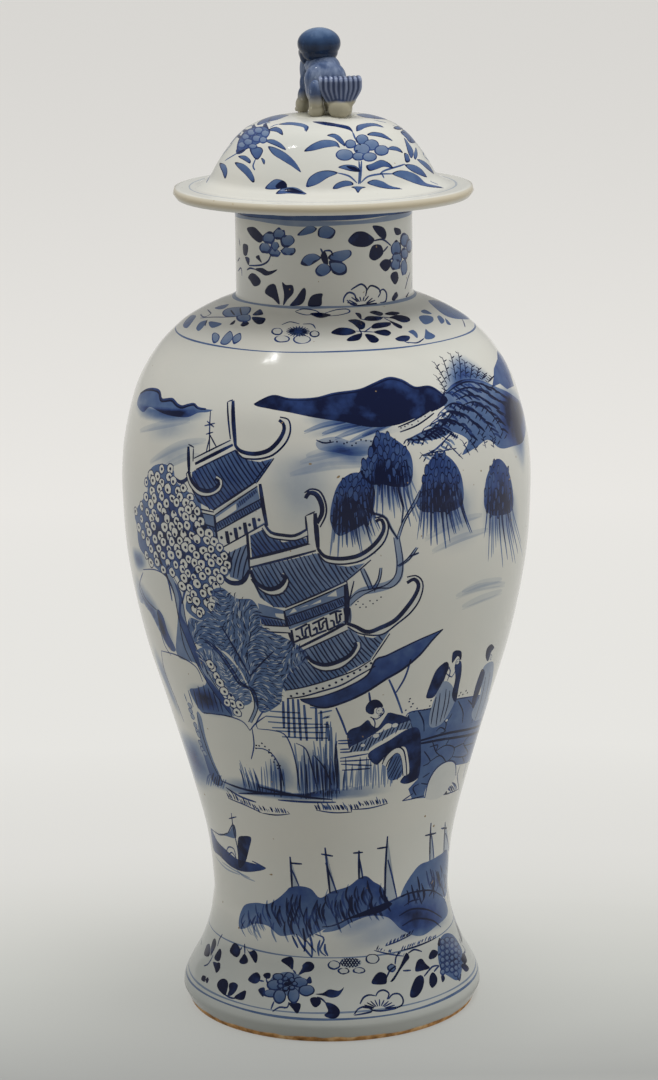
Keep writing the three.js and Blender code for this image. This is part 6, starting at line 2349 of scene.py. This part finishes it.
def bare_porcelain():
    """Unglazed biscuit porcelain: dull, warm off-white, with fine rings left by the turning tool."""
    material, tree, shader, place = new_material("bare_porcelain")
    height = add(tree, "ShaderNodeSeparateXYZ", {0: place}, "Z")
    rings = add(tree, "ShaderNodeTexNoise", {
        "W": height, "Scale": per_metre(0.9), "Detail": 2}, noise_dimensions="1D")
    colour = add(tree, "ShaderNodeMix", {0: rings, 6: "#a59b86", 7: "#bdb5a3"}, 2, data_type="RGBA")
    tree.links.new(colour, shader.inputs["Base Color"])
    shader.inputs["Roughness"].default_value = 0.75
    return material


# Stage

# The floor's painted shade, darker close to the vase: how far before the vase's axis its middle lies in
# metres, how its width compares with its depth, the power and the factor with which it clears, and where it
# has cleared
SHADE_AHEAD = 0.1
SHADE_NARROWING = 0.7
SHADE_POWER = 4.0
SHADE_FACTOR = 10.0
SHADE_END = 16

# How strong the air's light is on things, and as the camera sees it
AIR_LIGHT = 0.4
AIR_SEEN = 0.72


def studio_floor():
    """A wide sheet of pale paper that gives off light of its own as well as being lit from above, so that
    lamps leave no pool on it, with painted shade that darkens it close to the vase. It throws less light up
    than the camera sees on it."""
    material, tree, shader, place = new_material("matt_pale_paper")
    ahead = add(tree, "ShaderNodeVectorMath", {0: place, 1: (0, SHADE_AHEAD, 0)}, operation="ADD")
    depth = add(tree, "ShaderNodeSeparateXYZ", {0: ahead}, "Y")
    either = add(tree, "ShaderNodeMath", {0: depth}, operation="ABSOLUTE")
    narrow = add(tree, "ShaderNodeVectorMath", {0: ahead, 1: (SHADE_NARROWING, 1, 1)}, operation="MULTIPLY")
    reach = add(tree, "ShaderNodeVectorMath", {0: narrow}, "Value", operation="LENGTH")
    spread = add(tree, "ShaderNodeMath", {0: reach, 1: SHADE_POWER}, operation="POWER")
    away = add(tree, "ShaderNodeMath", {0: spread, 1: SHADE_FACTOR, 2: either}, operation="MULTIPLY_ADD")
    shade = add(tree, "ShaderNodeMapRange", {"Value": away, "From Max": SHADE_END})
    # Painted shade: the paper's colour darkens close to the vase
    seen = add(tree, "ShaderNodeValToRGB", {"Fac": shade}, stops=(
        (0.0006, "#a0a19e"), (0.0025, "#adaeaa"), (0.0068, "#bebfba"), (0.0127, "#cacac5"),
        (0.0213, "#d4d3cf"), (0.063, "#dddcd8"), (0.9, "#e4e2de")))
    camera = add(tree, "ShaderNodeLightPath", {}, "Is Camera Ray")
    glossy = add(tree, "ShaderNodeLightPath", {}, "Is Glossy Ray")
    direct = add(tree, "ShaderNodeMath", {0: camera, 1: glossy}, operation="MAXIMUM")
    through = add(tree, "ShaderNodeMath", {0: direct, 1: 0.75}, operation="MULTIPLY")
    lit = add(tree, "ShaderNodeMix", {0: 0.25, 6: "#000000", 7: seen}, 2, data_type="RGBA")
    colour = add(tree, "ShaderNodeMix", {0: direct, 6: "#a6a6a2", 7: lit}, 2, data_type="RGBA")
    tree.links.new(colour, shader.inputs["Base Color"])
    tree.links.new(seen, shader.inputs["Emission Color"])
    tree.links.new(through, shader.inputs["Emission Strength"])
    shader.inputs["Roughness"].default_value = 0.9
    mesh = bpy.data.meshes.new("studio_floor")
    form = bmesh.new()
    bmesh.ops.create_circle(form, cap_ends=True, radius=14, segments=96)
    form.to_mesh(mesh)
    form.free()
    mesh.materials.append(material)
    linked(bpy.data.objects.new("studio_floor", mesh))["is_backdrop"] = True


def area_light(name, place, aim, size, power, mirrored=False):
    """A soft lamp. The glaze mirrors it only where that is asked for."""
    data = bpy.data.lights.new(name, "AREA")
    data.size = size
    data.energy = power
    lamp = linked(bpy.data.objects.new(name, data))
    lamp.location = place
    lamp.rotation_euler = (Vector(aim) - Vector(place)).to_track_quat("-Z", "Y").to_euler()
    lamp.visible_glossy = mirrored


def studio_lights():
    aim = (0, 0, 0.2)
    area_light("window", (-2.0, -0.35, 0.9), aim, 1.0, 12)
    area_light("bounce_card", (1.9, -0.6, 0.6), aim, 1.0, 14)
    area_light("top_card", (0.3, -0.2, 3.0), aim, 1.2, 77)
    area_light("lamp", (-0.78, -0.15, 2.3), aim, 0.06, 2.2, mirrored=True)
    area_light("far_lamp", (-0.9, -0.15, 2.26), aim, 0.04, 1.0, mirrored=True)
    world = bpy.context.scene.world or bpy.data.worlds.new("studio_air")
    bpy.context.scene.world = world
    world.use_nodes = True
    background = world.node_tree.nodes["Background"]
    background.inputs["Color"].default_value = linear("#fbfaf7")
    camera = add(world.node_tree, "ShaderNodeLightPath", {}, "Is Camera Ray")
    strength = add(
        world.node_tree, "ShaderNodeMapRange", {"Value": camera, "To Min": AIR_LIGHT, "To Max": AIR_SEEN})
    world.node_tree.links.new(strength, background.inputs["Strength"])


def photograph_camera():
    forward, right, top = camera_axes()
    data = bpy.data.cameras.new("photograph_camera")
    data.sensor_width = SENSOR_MM
    data.lens = CAMERA_FOCAL_PIXELS * SENSOR_MM / IMAGE_HEIGHT
    camera = linked(bpy.data.objects.new("photograph_camera", data))
    turn = Matrix([right, top, -forward]).transposed()
    camera.matrix_world = Matrix.Translation(Vector(CAMERA_PLACE) * MM) @ turn.to_4x4()
    bpy.context.scene.camera = camera


# The add-on


class PorcelainGlaze(bpy.types.PropertyGroup):
    """Colours of the glaze and its cobalt."""

    glaze: bpy.props.FloatVectorProperty(
        name="Glaze", description="Clear glaze over the white body, where it is thin", subtype="COLOR",
        size=4, min=0, max=1, default=linear("#bfbcb3"))
    shaded_glaze: bpy.props.FloatVectorProperty(
        name="Thick glaze", description="The same glaze where it lies thicker and bluer", subtype="COLOR",
        size=4, min=0, max=1, default=linear("#b3b5b0"))
    cobalt: bpy.props.FloatVectorProperty(
        name="Cobalt", description="The blue at its strongest", subtype="COLOR",
        size=4, min=0, max=1, default=linear("#101c48"))
    skin_step: bpy.props.FloatProperty(
        name="Skin step", description="Greatest size of a face in the skin, at the belly",
        default=3.1 * MM, min=1 * MM, max=10 * MM, unit="LENGTH")


class PORCELAIN_OT_vase(bpy.types.Operator):
    """Makes the vase's four thrown sections with their painting"""

    bl_idname = "porcelain.vase"
    bl_label = "Vase sections"

    def execute(self, context):
        sizes = context.scene.porcelain
        material = painted_porcelain(sizes.glaze, sizes.shaded_glaze, sizes.cobalt)
        painting = paint_vase()
        spacing = sizes.skin_step / (BELLY_RADIUS * MM)
        for name, outline, strips in (
            ("foot_section", foot_outline(), 3),
            ("lower_body", body_outline(WAIST_HEIGHT, BODY_JOINT), 2),
            ("upper_body", body_outline(BODY_JOINT, NECK_JOINT), 2),
            ("neck", neck_outline(), 2),
        ):
            piece = turned_piece("painted_" + name, outline, painting, spacing, strips)
            finish_piece(piece, material, "vase", "glazed_porcelain", name)
        return {"FINISHED"}


class PORCELAIN_OT_cover(bpy.types.Operator):
    """Makes the cover's dome with its painting, and the collar under it"""

    bl_idname = "porcelain.cover"
    bl_label = "Cover and collar"

    def execute(self, context):
        material = bpy.data.materials["painted_porcelain"]
        spacing = context.scene.porcelain.skin_step / (BELLY_RADIUS * MM)
        dome = turned_piece("painted_cover_dome", cover_outline(), paint_cover(), spacing, 2)
        finish_piece(dome, material, "cover", "glazed_porcelain", "cover_dome")
        collar = turned_piece("bare_cover_sleeve", sleeve_outline(), None, COLLAR_SPACING, 2)
        finish_piece(collar, bare_porcelain(), "cover", "bare_porcelain", "cover_sleeve")
        return {"FINISHED"}


class PORCELAIN_OT_lion(bpy.types.Operator):
    """Builds the lion and the pad it stands on"""

    bl_idname = "porcelain.lion"
    bl_label = "Lion finial"

    def execute(self, context):
        blue = lion_glaze(
            "blue_washed_porcelain", ("#192540", "#41506e", "#8a96ab"),
            ridge=0.3, streak=0.85, crown=-0.1, bare_height=5.0, blend=4.5)
        dark = lion_glaze(
            "dark_washed_porcelain", ("#131b2e", "#2c405e", "#7085a2"),
            ridge=0.15, streak=0.3, crown=0.5, bare_height=-9)
        comb = lion_glaze(
            "ribbed_blue_porcelain", ("#0c1122", "#343f5b", "#a3adc4"),
            ridge=0.95, streak=0.2, crown=0, bare_height=5.6, blend=1.2)
        pale = lion_glaze(
            "pale_glazed_pad", ("#a5a396", "#b4b3a8", "#b9b8ad"),
            ridge=0.3, streak=0.5, crown=0, bare_height=-9)
        pad = clay_lumps((((0, 0, PLINTH_TOP - PLINTH_SIZE[2] / 2), PLINTH_SIZE),))
        jobs = [
            ("lion_torso", clay_lumps(TORSO_LUMPS), blue, "blue_glaze"),
            ("lion_mane", clay_lumps(MANE_LUMPS), dark, "blue_glaze"),
            ("lion_face", clay_lumps(FACE_LUMPS), dark, "blue_glaze"),
            ("lion_tail", tail_mesh(comb), comb, "blue_glaze"),
            ("finial_plinth", pad, pale, "pale_glaze"),
        ]
        for word, side in (("left", -1), ("right", 1)):
            for limb, lumps, place in (
                ("lion_foreleg_", FORELEG_LUMPS, FORELEG_PLACE),
                ("lion_hindleg_", HINDLEG_LUMPS, HINDLEG_PLACE),
            ):
                jobs.append((limb + word, clay_lumps(leg_lumps(lumps, place, side)), blue, "pale_glaze"))
        for node, mesh, material, slot in jobs:
            finish_piece(modelled("modelled_" + node, mesh), material, "cover", slot, node)
        return {"FINISHED"}


class PORCELAIN_OT_stage(bpy.types.Operator):
    """Sets the floor, the soft lights and the camera"""

    bl_idname = "porcelain.stage"
    bl_label = "Stage"

    def execute(self, context):
        context.scene.view_settings.view_transform = "Standard"
        studio_floor()
        studio_lights()
        photograph_camera()
        return {"FINISHED"}


class PORCELAIN_PT_panel(bpy.types.Panel):
    """Lists the makers of the vase's pieces"""

    bl_idname = "PORCELAIN_PT_panel"
    bl_label = "Painted porcelain"
    bl_space_type = "VIEW_3D"
    bl_region_type = "UI"
    bl_category = "Porcelain"

    def draw(self, context):
        for name in ("glaze", "shaded_glaze", "cobalt", "skin_step"):
            self.layout.prop(context.scene.porcelain, name)
        for maker in MAKERS:
            self.layout.operator(maker.bl_idname)


MAKERS = (PORCELAIN_OT_vase, PORCELAIN_OT_cover, PORCELAIN_OT_lion, PORCELAIN_OT_stage)
CLASSES = (PorcelainGlaze, *MAKERS, PORCELAIN_PT_panel)


def register():
    for kind in CLASSES:
        bpy.utils.register_class(kind)
    bpy.types.Scene.porcelain = bpy.props.PointerProperty(type=PorcelainGlaze)


def unregister():
    del bpy.types.Scene.porcelain
    for kind in reversed(CLASSES):
        bpy.utils.unregister_class(kind)


def main():
    register()
    for maker in MAKERS:
        group, name = maker.bl_idname.split(".")
        getattr(getattr(bpy.ops, group), name)()
    boxes = {"cad": CAD_BOX, "visual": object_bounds()}
    {name: [list(corner) for corner in box] for name, box in boxes.items()}


if __name__ == "__main__":
    main()
